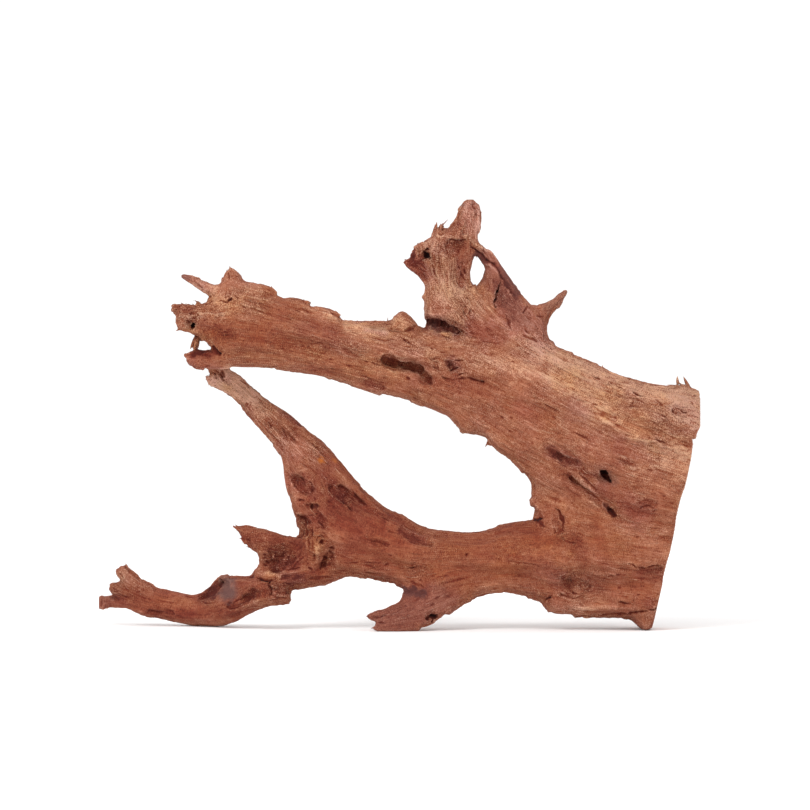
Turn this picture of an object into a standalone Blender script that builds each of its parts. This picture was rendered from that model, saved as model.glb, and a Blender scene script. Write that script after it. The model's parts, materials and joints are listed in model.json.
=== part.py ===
# A driftwood root, one solid piece of wood that stands on its heel, its foot and a trailing root.
# It is about 420 mm long and 300 mm high. X runs along it, with the sawn end at +X.
# Z is up, and its front faces -Y. The limbs are lofted, fused, hollowed out and cut flat where they rest.

import math

import bmesh
import bpy
import numpy as np
from mathutils import Vector, noise

# Every length below is a number of these, in metres. The whole piece is about 300 of them long.
UNIT = 0.0014

# Driving dimensions
GROUND = 0.7  # height at which the three feet are worn flat
SAWN_TOP = 97.0  # height where the slanted saw cut meets the upright one
SAWN_FOOT_X = 126.6  # where the slanted cut reaches the ground
SAWN_TOP_X = 148.8  # where the slanted cut ends, at SAWN_TOP
UPRIGHT_CUT_X = 151.0
SIGHT_DIP = 3.0  # degrees

# Mesh sizes
LOFT_STEP = 2.5
RING_POINTS = 48
FUSE_VOXEL = 0.8
TRIANGLES = 11000

WOOD_COLOUR = (0.42, 0.19, 0.105, 1.0)
WOOD_ROUGHNESS = 0.85

# Stations of each limb: (x, z) of one edge, (x, z) of the other edge, depth y, half thickness.
# The edges are where the limb's outline runs as seen from the front, along a line that dips by SIGHT_DIP.
LIMBS = {
    "upper_limb": [
        (151, 70, 158, 117.5, 0, 18),
        (142, 68, 149, 120.5, 0, 19.5),
        (135, 65, 142, 123.2, 0, 20.5),
        (126, 62, 133, 122.4, 0, 21.5),
        (108, 60, 113, 126.4, 0, 22),
        (91, 58, 96, 135, 0, 21.5),
        (75, 62, 81, 140.8, -1, 21),
        (67.6, 72, 73, 143.4, -1, 20.5),
        (56.6, 85.2, 61, 145, -2, 20),
        (49.2, 89.4, 53.5, 146, -2, 19.8),
        (43.5, 97, 46, 147, -2, 19.5),
        (32.5, 99, 35, 150, -3, 19),
        (26, 106.5, 26.5, 150.5, -3, 18.5),
        (14.5, 111.5, 15, 150, -4, 18),
        (2.5, 116.5, 3.5, 152.5, -5, 17.5),
        (-8, 118, -8, 154.5, -6, 17),
        (-19, 121.5, -18.5, 154.7, -7, 17),
        (-29, 124.5, -28.5, 155.2, -8, 16.5),
        (-40, 127.5, -40.5, 158.5, -9, 16),
        (-54, 129.6, -54.6, 163, -11, 15.6),
        (-66, 131.4, -66.6, 168.5, -12, 15),
        (-79, 132, -79.5, 172.5, -13, 14.5),
        (-86, 132, -87, 171, -13, 14),
        (-91, 139, -92.5, 167, -14, 12.5),
        (-96, 144, -97.5, 164.5, -14, 11),
        (-101, 148, -102.5, 163, -15, 10),
        (-106, 150, -107, 163, -15, 9),
        (-110, 151, -111, 162.5, -15, 7),
    ],
    "swelling_near": [
        (-27.6, 145, -27.6, 152, -8, 5),
        (-30.6, 145, -30.4, 160.2, -8, 8),
        (-36, 145, -36, 161.8, -9, 9.5),
        (-43, 145, -43, 162.6, -9, 8),
        (-46, 145, -46, 158, -9, 4),
    ],
    "swelling_mid": [
        (-43, 150, -43, 157, -10, 5),
        (-46.4, 150, -46, 165.4, -11, 8),
        (-51, 150, -51, 166.4, -11, 9),
        (-57, 150, -57, 166.4, -11, 8),
        (-61, 150, -61, 160, -12, 5),
    ],
    "swelling_far": [
        (-59, 155, -59.4, 163, -12, 5),
        (-62, 155, -62.4, 171.6, -12, 8),
        (-67, 155, -67, 173, -12, 9.5),
        (-73, 155, -73, 174.4, -13, 10),
        (-79, 155, -79, 174.2, -13, 9),
    ],
    "upper_lip": [
        (-100, 156, -99, 163.5, -16, 7),
        (-107, 157, -106, 163.5, -17, 5.5),
        (-111, 159, -111, 163.5, -18, 3.5),
        (-113, 161.5, -113, 163, -18, 1.5),
    ],
    "jaw": [
        (-74, 132, -74, 142.5, -12, 9),
        (-83, 131, -84, 140.5, -12, 8),
        (-92, 130.5, -92.5, 140, -12, 7),
        (-99, 130.5, -98, 139.5, -12, 6),
        (-103, 132, -102.5, 139, -12, 5),
        (-105.5, 135.5, -105.5, 138, -12, 3),
    ],
    "mouth_splinter": [
        (-101.5, 150, -98, 149, -13, 2),
        (-102.2, 146.5, -98.6, 145.5, -13, 1.6),
        (-103.6, 143.2, -99.4, 143, -13, 1.5),
        (-102.4, 140.2, -100.2, 140.2, -13, 1.1),
    ],
    "horn": [
        (-88, 164, -86, 172, -13, 7),
        (-94, 166, -91.5, 173, -13, 5),
        (-98.2, 169.4, -96.5, 175.2, -14, 3.8),
        (-103, 172.4, -101.6, 177.2, -15, 3),
        (-107, 175, -105.6, 178.4, -16, 2.2),
        (-109.6, 176.8, -108.8, 178.8, -16, 1.3),
    ],
    "peak": [
        (-92, 167, -73, 170, -12, 9),
        (-88.5, 174.5, -76.5, 174, -12, 6),
        (-87, 177.5, -79, 177, -12, 4.5),
        (-85.5, 180, -81, 179.5, -12, 2.8),
        (-84, 182, -83, 182, -12, 1),
    ],
    "knuckle": [
        (-7, 150, 11, 149, -6, 9),
        (-3.5, 154.5, 7.5, 154, -7, 6),
        (-1, 157, 5, 157, -7, 4),
        (1, 159, 3, 159, -7, 2),
    ],
    "stump": [
        (15, 135, 53.5, 135, -3, 15),
        (14.5, 150, 51, 150, -3, 14),
        (13.5, 159, 48, 159, -3, 12.5),
        (13, 166, 44, 166, -2, 11),
        (13.5, 171.5, 38, 171, -2, 10),
        (14, 177.5, 35.5, 177, -2, 9),
        (13, 184, 36.5, 184, -2, 9),
        (12, 190, 38, 190, -1, 9),
        (13.5, 194.5, 40, 194.5, 0, 8.5),
        (17.5, 198, 40, 197.5, 0, 8),
        (25, 201.5, 41, 201, 1, 7.5),
        (28.5, 207, 41.6, 206.5, 2, 6.5),
        (30, 211, 41.4, 210.5, 3, 5.5),
        (32.5, 214, 39.8, 213.8, 3, 4),
        (34.5, 215.6, 37.5, 215.6, 3, 2.4),
    ],
    "front_splinter": [
        (16.5, 198, 21, 198, -1, 2.6),
        (17.4, 201, 20, 201, -1, 1.7),
        (17.6, 204.6, 19, 204.6, -1, 1.1),
    ],
    "rear_splinter": [
        (19.5, 198.5, 24, 198.5, 1, 2.6),
        (20.6, 200.6, 22.8, 200.6, 1, 1.7),
        (21, 203.6, 23, 203.6, 2, 1.1),
    ],
    "wing": [
        (18, 170, 18, 189, -3, 6),
        (14, 173, 13.5, 190, -4, 5),
        (9.5, 177, 9, 189.5, -5, 4),
        (5.5, 180.5, 5.5, 187, -6, 2.8),
        (2.2, 183, 2.8, 186, -6, 1.6),
    ],
    "wing_knob": [
        (14, 184, 18, 193.4, -4, 4),
        (9, 186.5, 14, 193.6, -5, 3.8),
        (7.2, 188, 10.5, 193.2, -5, 3),
        (7.4, 190.8, 8.8, 192.6, -5, 1.8),
    ],
    "strap": [
        (32, 196, 40, 195, 0, 5),
        (36.4, 191.5, 44, 191.9, 0, 4),
        (41, 186.5, 48.8, 186.8, 1, 3.5),
        (43.9, 181.5, 51.4, 181.8, 2, 4),
        (43, 176, 54.7, 176.5, 3, 5),
        (38, 170.5, 58.8, 171, 3, 6.5),
        (32, 164, 63.8, 165, 3, 9),
        (28.5, 157, 70, 157, 2, 11),
        (26, 149, 74, 150, 1, 13),
        (26, 139, 79, 140, 0, 16),
    ],
    "thorn": [
        (75, 145, 60, 159, 3, 8),
        (74.5, 152.5, 67, 161.5, 5, 5.5),
        (76, 156.5, 71.5, 162, 6, 4),
        (79.2, 160.3, 75.8, 164.2, 8, 3),
        (82.4, 164.3, 79.8, 167.4, 10, 2.4),
        (85.2, 168.2, 83, 171, 11, 1.8),
    ],
    "trunk_web": [
        (139, 25, 153.5, 105, 0, 20),
        (126, 28, 133.5, 105, 0, 20.5),
        (106, 30, 111, 103, 0, 20),
        (88.5, 33, 91, 100, 0, 18),
        (76, 35, 77.5, 90, 0, 14),
        (71.5, 50, 71, 80, 0, 12.5),
        (66.6, 61, 66.8, 75, 0, 10),
    ],
    "lower_limb": [
        (135, 5, 151, 75, 0, 17),
        (125, 2, 137, 67.5, -1, 17),
        (116, 6, 126, 65, -1, 17.5),
        (101, 7, 108.5, 62.5, -1, 17.5),
        (87, 8.2, 91, 60, 0, 17),
        (76, 8.8, 77.5, 57.5, 0, 16.5),
        (72, 14, 71, 55, 0, 15.5),
        (62, 17.2, 63.5, 54.8, 0, 15),
        (53.5, 19.2, 54.5, 53.2, 1, 14.5),
        (44.5, 18, 45.5, 50, 1, 14),
        (34.5, 14, 35.5, 48.8, 1, 14),
        (22, 14.5, 23, 49.6, 2, 14),
        (9, 19, 12, 51.5, 2, 14),
        (-2, 23, 2, 57.5, 3, 14),
        (-13, 25.5, -8, 62, 3, 14),
        (-24, 27.5, -23, 65, 3, 14),
        (-34, 24, -36, 65, 3, 13.5),
        (-43, 21.8, -46, 59, 2, 12),
        (-49.5, 21, -50, 51.5, 1, 9),
    ],
    "heel": [
        (111, 15, 132, 20, -1, 17),
        (116, 7, 130, 12, -1, 16.5),
        (119, 3, 127.5, 5, -1, 15.5),
        (121.5, 0.3, 126, 0.8, -1, 14),
    ],
    "arm": [
        (13.5, 50, -49, 51, 3, 13),
        (-3, 59.3, -52, 59, 3, 13.5),
        (-14, 66.7, -54, 66.5, 3.5, 13),
        (-22, 75.5, -57.2, 75, 4, 12),
        (-28.8, 85, -58, 82.5, 5, 11),
        (-36.2, 93.8, -60.2, 88.6, 5.5, 10),
        (-45.4, 100.4, -64.4, 94.6, 6, 9),
        (-54, 107, -70.6, 101.8, 7, 8),
        (-63, 112.5, -77, 108.4, 8, 7),
        (-69.5, 117.5, -82.6, 115.4, 8.5, 6),
        (-74.5, 122.5, -89, 119.8, 9, 5.8),
        (-79.5, 127.5, -96.4, 123.6, 9.5, 5.4),
        (-83.5, 131, -95.8, 128.4, 10, 5),
        (-87, 135, -95, 134, 10.5, 4),
        (-89, 140, -93.5, 139, 11, 2.5),
    ],
    "prong": [
        (-40, 22.5, -40, 49, 2, 10),
        (-49, 26, -49, 49, 1, 9),
        (-56, 28, -55, 46.8, 1, 7.5),
        (-63, 29, -60.5, 48.8, 1, 6),
        (-68.5, 32, -66, 50, 2, 5),
        (-71, 39, -71, 51, 3, 4.5),
        (-75, 43, -75.5, 51.8, 4, 3.5),
        (-78.5, 47, -79, 52.5, 5, 2.5),
        (-82, 51, -82, 52.5, 6, 1.2),
    ],
    "prong_tooth": [
        (-73, 41, -73, 45, 3, 2.5),
        (-77, 44.5, -76.5, 46.5, 3, 1.8),
        (-79.2, 46.2, -79, 47, 3, 0.9),
    ],
    "root": [
        (-53.5, 13, -53.5, 20, -6, 5),
        (-61, 13, -61.5, 25.5, -5, 8),
        (-68, 11, -69, 27.5, 0, 9.5),
        (-75.5, 8.3, -76, 27, 6, 10),
        (-82, 4.4, -83.5, 27.5, 12, 10),
        (-88, 1.5, -89, 26.3, 17, 9.5),
        (-94.5, 1, -94.5, 20.8, 21, 9),
        (-101.5, 1.7, -100.5, 17.2, 24, 8),
        (-108.5, 3.6, -107, 18, 26, 7),
        (-116, 5.6, -114, 19.8, 28, 6.5),
        (-124, 7, -121.6, 20.6, 29, 6),
        (-130, 8.8, -128.5, 23.4, 30, 5),
    ],
    "root_neck": [
        (-86, 14, -86, 27, 12, 7),
        (-79, 14, -79, 26, 8, 8),
        (-72.5, 15, -73.5, 27, 5, 8),
        (-66, 17.5, -69, 32, 3, 8),
        (-58, 19.5, -62, 38, 2, 8.5),
        (-49, 21, -53, 43, 1, 9.5),
        (-40, 22.5, -44, 46, 2, 11),
    ],
    "root_low_tip": [
        (-129, 9, -128, 19, 29, 5),
        (-135, 11, -134, 19, 31, 4.5),
        (-141.5, 10.8, -141.5, 17, 33, 3.8),
        (-147, 10.8, -147, 16.8, 35, 3.4),
        (-150.2, 11.8, -150.2, 16, 36, 2.5),
    ],
    "root_mid_tip": [
        (-129, 12, -128, 22, 28, 4.5),
        (-136, 14.5, -135.5, 23.4, 28, 4),
        (-141.5, 16.8, -140.5, 23.8, 27, 3.2),
        (-145, 20, -144.5, 23.8, 26, 2.2),
    ],
    "root_high_tip": [
        (-123, 12.5, -121, 21.4, 28, 5),
        (-130, 17, -126.5, 25, 27, 4.5),
        (-136.5, 22, -130.5, 28.2, 25, 3.8),
        (-139.4, 26, -134, 30.8, 24, 3.2),
        (-142, 29.5, -137.5, 32.4, 23, 2.4),
    ],
    "root_high_spike": [
        (-139, 28, -133.6, 29, 23.5, 2.2),
        (-138, 33.8, -136, 34.2, 23, 1.2),
    ],
    "foot": [
        (38.5, 22.5, 13.5, 37.5, -1, 12),
        (32.5, 12.5, 3, 21, -5, 11),
        (25, 8, 1, 14.8, -9, 10),
        (17, 1.5, -3.5, 12.8, -12, 9),
        (9, -0.6, -7, 10.5, -14, 8),
        (1, -1, -9, 7, -16, 7),
        (-6, -1, -10, 4, -17, 5.5),
        (-11, -0.8, -13, 1.4, -18, 3),
    ],
    "foot_prong": [
        (2, 7, 0, 14.2, -13, 5.5),
        (-6, 5.4, -6.5, 11.2, -15, 4.5),
        (-11.6, 5, -11.4, 9.4, -16, 3.2),
        (-15.4, 5.8, -15.2, 8, -16.5, 1.8),
    ],
}

SMOOTH_LIMBS = ("trunk_web",)

FRONT, BACK = 1.0, -1.0

# Hollows: side, radius, depth, then the (x, z) points of the line that it follows, as seen from the front
HOLLOWS = [
    (FRONT, 4.0, 7.5, [(-7, 135), (0, 133), (7, 132), (12, 129.5), (15, 125)]),
    (FRONT, 4.6, 9.0, [(16, 154), (22, 153), (27, 150.5), (30, 148.5)]),
    (FRONT, 3.0, 2.6, [(26, 132), (29, 128)]),
    (FRONT, 2.2, 1.6, [(36, 126), (42, 124)]),
    (FRONT, 5.6, 4.0, [(75, 91), (82, 87), (90, 82)]),
    (FRONT, 3.2, 4.6, [(87, 76.5), (96, 69.5), (102, 64.5), (108, 59)]),
    (FRONT, 3.4, 10.0, [(102, 78.5), (103.5, 76.5)]),
    (FRONT, 2.2, 2.2, [(79.5, 60), (82.5, 55), (82.5, 51)]),
    (FRONT, 5.4, 3.4, [(-53, 76), (-45, 69)]),
    (FRONT, 5.0, 4.6, [(-33, 72), (-24, 66.5), (-16.5, 61.5)]),
    (FRONT, 2.4, 3.2, [(-43, 62), (-41, 62)]),
    (FRONT, 2.2, 3.2, [(-38.5, 46), (-37.5, 44)]),
    (FRONT, 3.2, 3.0, [(-34, 41), (-36, 35), (-39, 32)]),
    (FRONT, 3.2, 1.6, [(3.5, 50), (10, 45), (16, 43)]),
    (FRONT, 2.6, 3.2, [(15, 6.5), (18, 6.5)]),
    (FRONT, 2.8, 4.6, [(-103, 153), (-102, 153)]),
    (FRONT, 7.0, 4.6, [(-63, 34), (-56.5, 37), (-51.5, 40)]),
    (FRONT, 5.6, 5.4, [(-96, 16), (-91, 20), (-85, 21)]),
    (FRONT, 3.0, 2.2, [(-84, 12), (-77.5, 15.5), (-71.5, 19.5)]),
    (FRONT, 3.4, 6.0, [(13, 189), (14, 188)]),
    (FRONT, 5.6, 4.0, [(28.5, 192), (31.5, 184), (32.5, 175)]),
    (FRONT, 1.8, 3.0, [(-74, 26.5), (-68, 25.5), (-63, 25)]),
    (FRONT, 1.6, 2.6, [(-65, 24), (-64.5, 18)]),
    (FRONT, 2.2, 3.0, [(51, 175), (49.5, 169), (49.5, 163)]),
    (FRONT, 2.2, 2.6, [(91, 7), (101, 7.5), (111, 8.5)]),
    (FRONT, 2.0, 2.6, [(73, 15.5), (76, 17)]),
    (FRONT, 3.0, 2.4, [(-40, 57.5), (-48, 56)]),
    (FRONT, 11.0, 3.2, [(72, 68), (92, 58), (116, 52), (140, 50)]),
    (FRONT, 7.0, 2.2, [(58, 114), (84, 104), (112, 92), (146, 84)]),
    (FRONT, 6.0, 2.0, [(86, 24), (112, 22), (136, 28)]),
    (FRONT, 3.6, 1.4, [(54, 134), (78, 122), (108, 106), (150, 92)]),
    (FRONT, 3.2, 1.2, [(66, 136), (92, 126), (120, 114), (150, 107)]),
    (FRONT, 3.6, 1.4, [(72, 84), (92, 72), (122, 58), (142, 56)]),
    (FRONT, 3.2, 1.3, [(60, 46), (90, 46), (120, 42), (140, 44)]),
    (FRONT, 3.0, 1.2, [(20, 30), (60, 28), (96, 14), (128, 14)]),
    (BACK, 3.6, 1.4, [(54, 134), (78, 122), (108, 114), (150, 104)]),
    (BACK, 3.6, 1.4, [(66, 96), (92, 90), (122, 86), (146, 88)]),
    (BACK, 3.2, 1.3, [(30, 46), (60, 48), (96, 50), (140, 52)]),
    (BACK, 3.2, 1.3, [(60, 24), (96, 20), (130, 20)]),
    (FRONT, 6.0, 1.8, [(-60, 146), (-30, 138), (0, 124)]),
    (BACK, 12.0, 3.6, [(76, 70), (104, 66), (140, 74)]),
    (BACK, 6.0, 4.5, [(60, 118), (84, 108), (112, 104)]),
    (BACK, 4.0, 6.0, [(96, 60), (99, 57)]),
    (BACK, 4.5, 3.5, [(40, 36), (62, 33), (86, 38)]),
    (BACK, 3.5, 3.5, [(-20, 140), (0, 136), (16, 131)]),
    (BACK, 3.0, 3.0, [(-70, 152), (-56, 149)]),
    (BACK, 4.0, 3.4, [(-36, 72), (-22, 56)]),
    (BACK, 3.0, 3.0, [(22, 176), (27, 160)]),
    (BACK, 3.0, 2.5, [(-108, 12), (-94, 13)]),
]

# Ridges stand proud: side, radius, height, then the (x, z) points of their line
RIDGES = [
    (FRONT, 4.0, 1.8, [(15, 159), (24, 157.5), (32, 153)]),
    (FRONT, 3.0, 1.2, [(90, 79), (99, 71)]),
    (FRONT, 8.0, 2.6, [(40, 142), (76, 126), (112, 110), (150, 100)]),
    (FRONT, 7.0, 2.2, [(64, 92), (84, 92), (116, 78), (144, 66)]),
    (FRONT, 8.0, 2.4, [(0, 40), (44, 36), (84, 36), (132, 38)]),
    (FRONT, 3.2, 1.2, [(60, 128), (86, 114), (116, 98), (148, 90)]),
    (FRONT, 3.2, 1.2, [(78, 78), (96, 66), (124, 54)]),
    (BACK, 4.0, 1.5, [(58, 126), (86, 116), (120, 100), (148, 96)]),
    (BACK, 4.0, 1.5, [(70, 84), (100, 78), (144, 78)]),
    (BACK, 4.0, 1.5, [(70, 56), (100, 36), (136, 34)]),
    (FRONT, 4.0, 1.2, [(-60, 155), (-30, 147), (-12, 142)]),
    (FRONT, 3.5, 1.4, [(-40, 51), (-41, 42), (-42, 33)]),
    (FRONT, 4.0, 1.4, [(-70, 105), (-48, 82)]),
    (BACK, 7.0, 2.4, [(20, 140), (70, 130), (130, 112)]),
    (BACK, 6.0, 2.0, [(0, 40), (50, 44), (120, 40)]),
    (BACK, 5.0, 1.6, [(-80, 150), (-30, 140)]),
]

RAGGED = 0.35  # how far the edge of a hollow wanders, as a share of its radius
RAGGED_SCALE = 9.0
SIGHT_RISE = math.tan(math.radians(SIGHT_DIP))


def through_stations(stations, step):
    """A cubic curve through the stations, sampled about every step along the limb."""
    rows = np.array(stations, float)
    centres = np.column_stack(((rows[:, 0] + rows[:, 2]) / 2, rows[:, 4], (rows[:, 1] + rows[:, 3]) / 2))
    gaps = np.maximum(np.linalg.norm(np.diff(centres, axis=0), axis=1), 0.5)
    slopes = np.diff(rows, axis=0) / gaps[:, None]
    inner = (slopes[:-1] * gaps[1:, None] + slopes[1:] * gaps[:-1, None]) / (gaps[:-1] + gaps[1:])[:, None]
    tangents = np.vstack((slopes[:1], inner, slopes[-1:]))
    sampled = []
    for i, gap in enumerate(gaps):
        count = max(2, math.ceil(gap / step))
        for t in np.arange(count) / count:
            start = (2 * t**3 - 3 * t**2 + 1) * rows[i] + (t**3 - 2 * t**2 + t) * gap * tangents[i]
            end = (3 * t**2 - 2 * t**3) * rows[i + 1] + (t**3 - t**2) * gap * tangents[i + 1]
            sampled.append(start + end)
    sampled.append(rows[-1])
    return np.array(sampled)


def fluted(angles, along, seed):
    """Shallow ridges and valleys round a limb, which wander as they run along it. None at its outline."""
    draw = np.random.default_rng(seed)
    swell = np.zeros((len(along), len(angles)))
    for lobes, height in ((3, 0.05), (5, 0.055), (9, 0.055)):
        phase = draw.uniform(0, 2 * math.pi)
        twist = draw.uniform(-0.012, 0.012)
        sway = draw.uniform(0.3, 0.8) * np.sin(along / draw.uniform(16, 30) + phase)
        swell += height * np.cos(lobes * angles[None, :] + phase + (twist * along + sway)[:, None])
    return 1 + swell * np.abs(np.sin(angles))[None, :]


def loft(bm, name, seed):
    """One closed limb: rings through its stations, and a face over each end."""
    stations = LIMBS[name]
    rows = through_stations(stations, LOFT_STEP)
    angles = np.arange(RING_POINTS) * 2 * math.pi / RING_POINTS
    height_shift = rows[:, 4] * SIGHT_RISE
    first = np.column_stack((rows[:, 0], rows[:, 4], rows[:, 1] - height_shift))
    other = np.column_stack((rows[:, 2], rows[:, 4], rows[:, 3] - height_shift))
    centres, across = (first + other) / 2, (other - first) / 2
    thick = np.column_stack((np.zeros(len(rows)), rows[:, 5], np.zeros(len(rows))))
    along = np.concatenate(([0], np.cumsum(np.linalg.norm(np.diff(centres, axis=0), axis=1))))
    swell = fluted(angles, along, seed) if name not in SMOOTH_LIMBS else np.ones((len(rows), RING_POINTS))
    boxy = 0.9
    cosine = np.sign(np.cos(angles)) * np.abs(np.cos(angles)) ** boxy
    sine = np.sign(np.sin(angles)) * np.abs(np.sin(angles)) ** boxy
    points = centres[:, None, :] + swell[:, :, None] * (
        cosine[None, :, None] * across[:, None, :] + sine[None, :, None] * thick[:, None, :]
    )
    rings = [[bm.verts.new(point * UNIT) for point in ring] for ring in points]
    for ring, after in zip(rings, rings[1:]):
        for j in range(RING_POINTS):
            k = (j + 1) % RING_POINTS
            bm.faces.new((ring[j], ring[k], after[k], after[j]))
    bm.faces.new(rings[0][::-1])
    bm.faces.new(rings[-1])


def evaluated_mesh(obj, name):
    """The object's mesh with its modifiers applied."""
    graph = bpy.context.evaluated_depsgraph_get()
    mesh = bpy.data.meshes.new_from_object(obj.evaluated_get(graph))
    mesh.name = name
    return mesh


def fuse(collection):
    """All limbs as one skin, closed by a voxel remesh."""
    bm = bmesh.new()
    for seed, name in enumerate(LIMBS):
        loft(bm, name, seed)
    bmesh.ops.recalc_face_normals(bm, faces=bm.faces)
    mesh = bpy.data.meshes.new("limbs")
    bm.to_mesh(mesh)
    bm.free()
    limbs = bpy.data.objects.new("limbs", mesh)
    collection.objects.link(limbs)
    remesh = limbs.modifiers.new("Fuse", "REMESH")
    remesh.mode = "VOXEL"
    remesh.voxel_size = FUSE_VOXEL * UNIT
    fused = evaluated_mesh(limbs, "driftwood")
    bpy.data.objects.remove(limbs)
    return fused


def positions(mesh):
    points = np.empty(len(mesh.vertices) * 3)
    mesh.vertices.foreach_get("co", points)
    return points.reshape(-1, 3) / UNIT


def normals(mesh):
    vectors = np.empty(len(mesh.vertices) * 3)
    mesh.vertex_normals.foreach_get("vector", vectors)
    return vectors.reshape(-1, 3)


def place(mesh, points):
    mesh.vertices.foreach_set("co", (points * UNIT).ravel())
    mesh.update()


def round_crotches(mesh, rounds, hollow_share, proud_share):
    """Moves each vertex towards its neighbours: far where the surface is hollow, little where it is proud,
    so that limbs grow out of each other in fillets and thin tips keep their thickness."""
    edges = np.empty(len(mesh.edges) * 2, int)
    mesh.edges.foreach_get("vertices", edges)
    a, b = edges.reshape(-1, 2).T
    count = len(mesh.vertices)
    valence = np.bincount(a, minlength=count) + np.bincount(b, minlength=count)
    for _ in range(rounds):
        points, outward = positions(mesh), normals(mesh)
        total = np.column_stack(
            [
                np.bincount(a, points[b, axis], count) + np.bincount(b, points[a, axis], count)
                for axis in range(3)
            ]
        )
        step = total / valence[:, None] - points
        hollow = (step * outward).sum(axis=1) > 0
        place(mesh, points + step * np.where(hollow, hollow_share, proud_share)[:, None])


def distance_to_line(x, z, line):
    """Distance in the front view from each point to a line of straight runs."""
    nearest = np.full(len(x), np.inf)
    for (x0, z0), (x1, z1) in zip(line, line[1:]):
        run_x, run_z = x1 - x0, z1 - z0
        share = np.clip(((x - x0) * run_x + (z - z0) * run_z) / (run_x**2 + run_z**2), 0, 1)
        nearest = np.minimum(nearest, np.hypot(x - x0 - share * run_x, z - z0 - share * run_z))
    return nearest


def carve(mesh, lines, sign):
    """Presses the skin in along each line, or raises it where sign is -1."""
    points, outward = positions(mesh), normals(mesh)
    seen_height = points[:, 2] + points[:, 1] * SIGHT_RISE
    ragged = RAGGED * np.array([noise.noise(Vector(point) / RAGGED_SCALE) for point in points])
    moved = points.copy()
    for side, radius, depth, line in lines:
        away = np.maximum(distance_to_line(points[:, 0], seen_height, line) / radius + ragged, 0)
        facing = np.clip(-side * outward[:, 1] * 2.5, 0, 1)
        moved[:, 1] += sign * side * depth * facing * np.clip(1 - away**2, 0, 1) ** 1.5
    place(mesh, moved)


def weather(mesh, scale, height, swelling):
    """Soft lumps all over, and a swelling that makes up for what rounding has taken off."""
    points, outward = positions(mesh), normals(mesh)
    swell = np.array([noise.noise(Vector(point) / scale) for point in points])
    place(mesh, points + outward * (height * swell + swelling)[:, None])


def box_cutter(name, corners, collection):
    """A block from a front-view outline, wide enough to pass the wood on both sides."""
    half_depth = 90.0
    bm = bmesh.new()
    face = bm.faces.new([bm.verts.new(Vector((x, -half_depth, z)) * UNIT) for x, z in corners])
    pushed = bmesh.ops.extrude_face_region(bm, geom=[face])["geom"]
    fresh = [v for v in pushed if isinstance(v, bmesh.types.BMVert)]
    bmesh.ops.translate(bm, verts=fresh, vec=Vector((0, 2 * half_depth, 0)) * UNIT)
    bmesh.ops.recalc_face_normals(bm, faces=bm.faces)
    mesh = bpy.data.meshes.new(name)
    bm.to_mesh(mesh)
    bm.free()
    cutter = bpy.data.objects.new(name, mesh)
    cutter.hide_render = True
    cutter.display_type = "WIRE"
    collection.objects.link(cutter)
    return cutter


def cut(wood, cutter):
    boolean = wood.modifiers.new(cutter.name, "BOOLEAN")
    boolean.operation = "DIFFERENCE"
    boolean.solver = "EXACT"
    boolean.object = cutter


def wood_material():
    material = bpy.data.materials.new("driftwood")
    material.use_nodes = True
    shader = material.node_tree.nodes["Principled BSDF"]
    shader.inputs["Base Color"].default_value = WOOD_COLOUR
    shader.inputs["Roughness"].default_value = WOOD_ROUGHNESS
    shader.inputs["Metallic"].default_value = 0.0
    return material


def rest_on_footprint(mesh):
    """Moves the wood so that its origin is under the middle of its box, on the ground."""
    points = positions(mesh)
    low, high = points.min(axis=0), points.max(axis=0)
    place(mesh, points - [(low[0] + high[0]) / 2, (low[1] + high[1]) / 2, low[2]])


def build():
    for obj in list(bpy.data.objects):
        bpy.data.objects.remove(obj)
    parts = bpy.data.collections.new("driftwood")
    cutters = bpy.data.collections.new("cutters")
    bpy.context.scene.collection.children.link(parts)
    bpy.context.scene.collection.children.link(cutters)

    mesh = fuse(parts)
    round_crotches(mesh, rounds=30, hollow_share=0.8, proud_share=0.02)
    carve(mesh, RIDGES, -1)
    carve(mesh, HOLLOWS, 1)
    weather(mesh, scale=26, height=1.3, swelling=0.38)
    round_crotches(mesh, rounds=14, hollow_share=0.3, proud_share=0.3)

    wood = bpy.data.objects.new("driftwood", mesh)
    parts.objects.link(wood)
    decimate = wood.modifiers.new("Facets", "DECIMATE")
    decimate.ratio = TRIANGLES / sum(len(face.vertices) - 2 for face in mesh.polygons)
    far = 40.0
    cut(wood, box_cutter("floor_cut", [(-200, -far), (200, -far), (200, GROUND), (-200, GROUND)], cutters))
    slanted = [(SAWN_FOOT_X, 0), (SAWN_TOP_X, SAWN_TOP), (SAWN_TOP_X + far, SAWN_TOP), (SAWN_FOOT_X + far, 0)]
    cut(wood, box_cutter("slanted_saw_cut", slanted, cutters))
    upright = [(UPRIGHT_CUT_X, SAWN_TOP - 1), (UPRIGHT_CUT_X + far, SAWN_TOP - 1), (UPRIGHT_CUT_X + far, 160),
               (UPRIGHT_CUT_X, 160)]
    cut(wood, box_cutter("upright_saw_cut", upright, cutters))

    finished = evaluated_mesh(wood, "driftwood")
    wood.modifiers.clear()
    wood.data = finished
    rest_on_footprint(finished)
    finished.materials.clear()
    finished.materials.append(wood_material())


build()
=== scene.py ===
import json
import math
from itertools import product

import bpy
import numpy as np
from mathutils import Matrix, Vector
from mathutils.kdtree import KDTree

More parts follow.
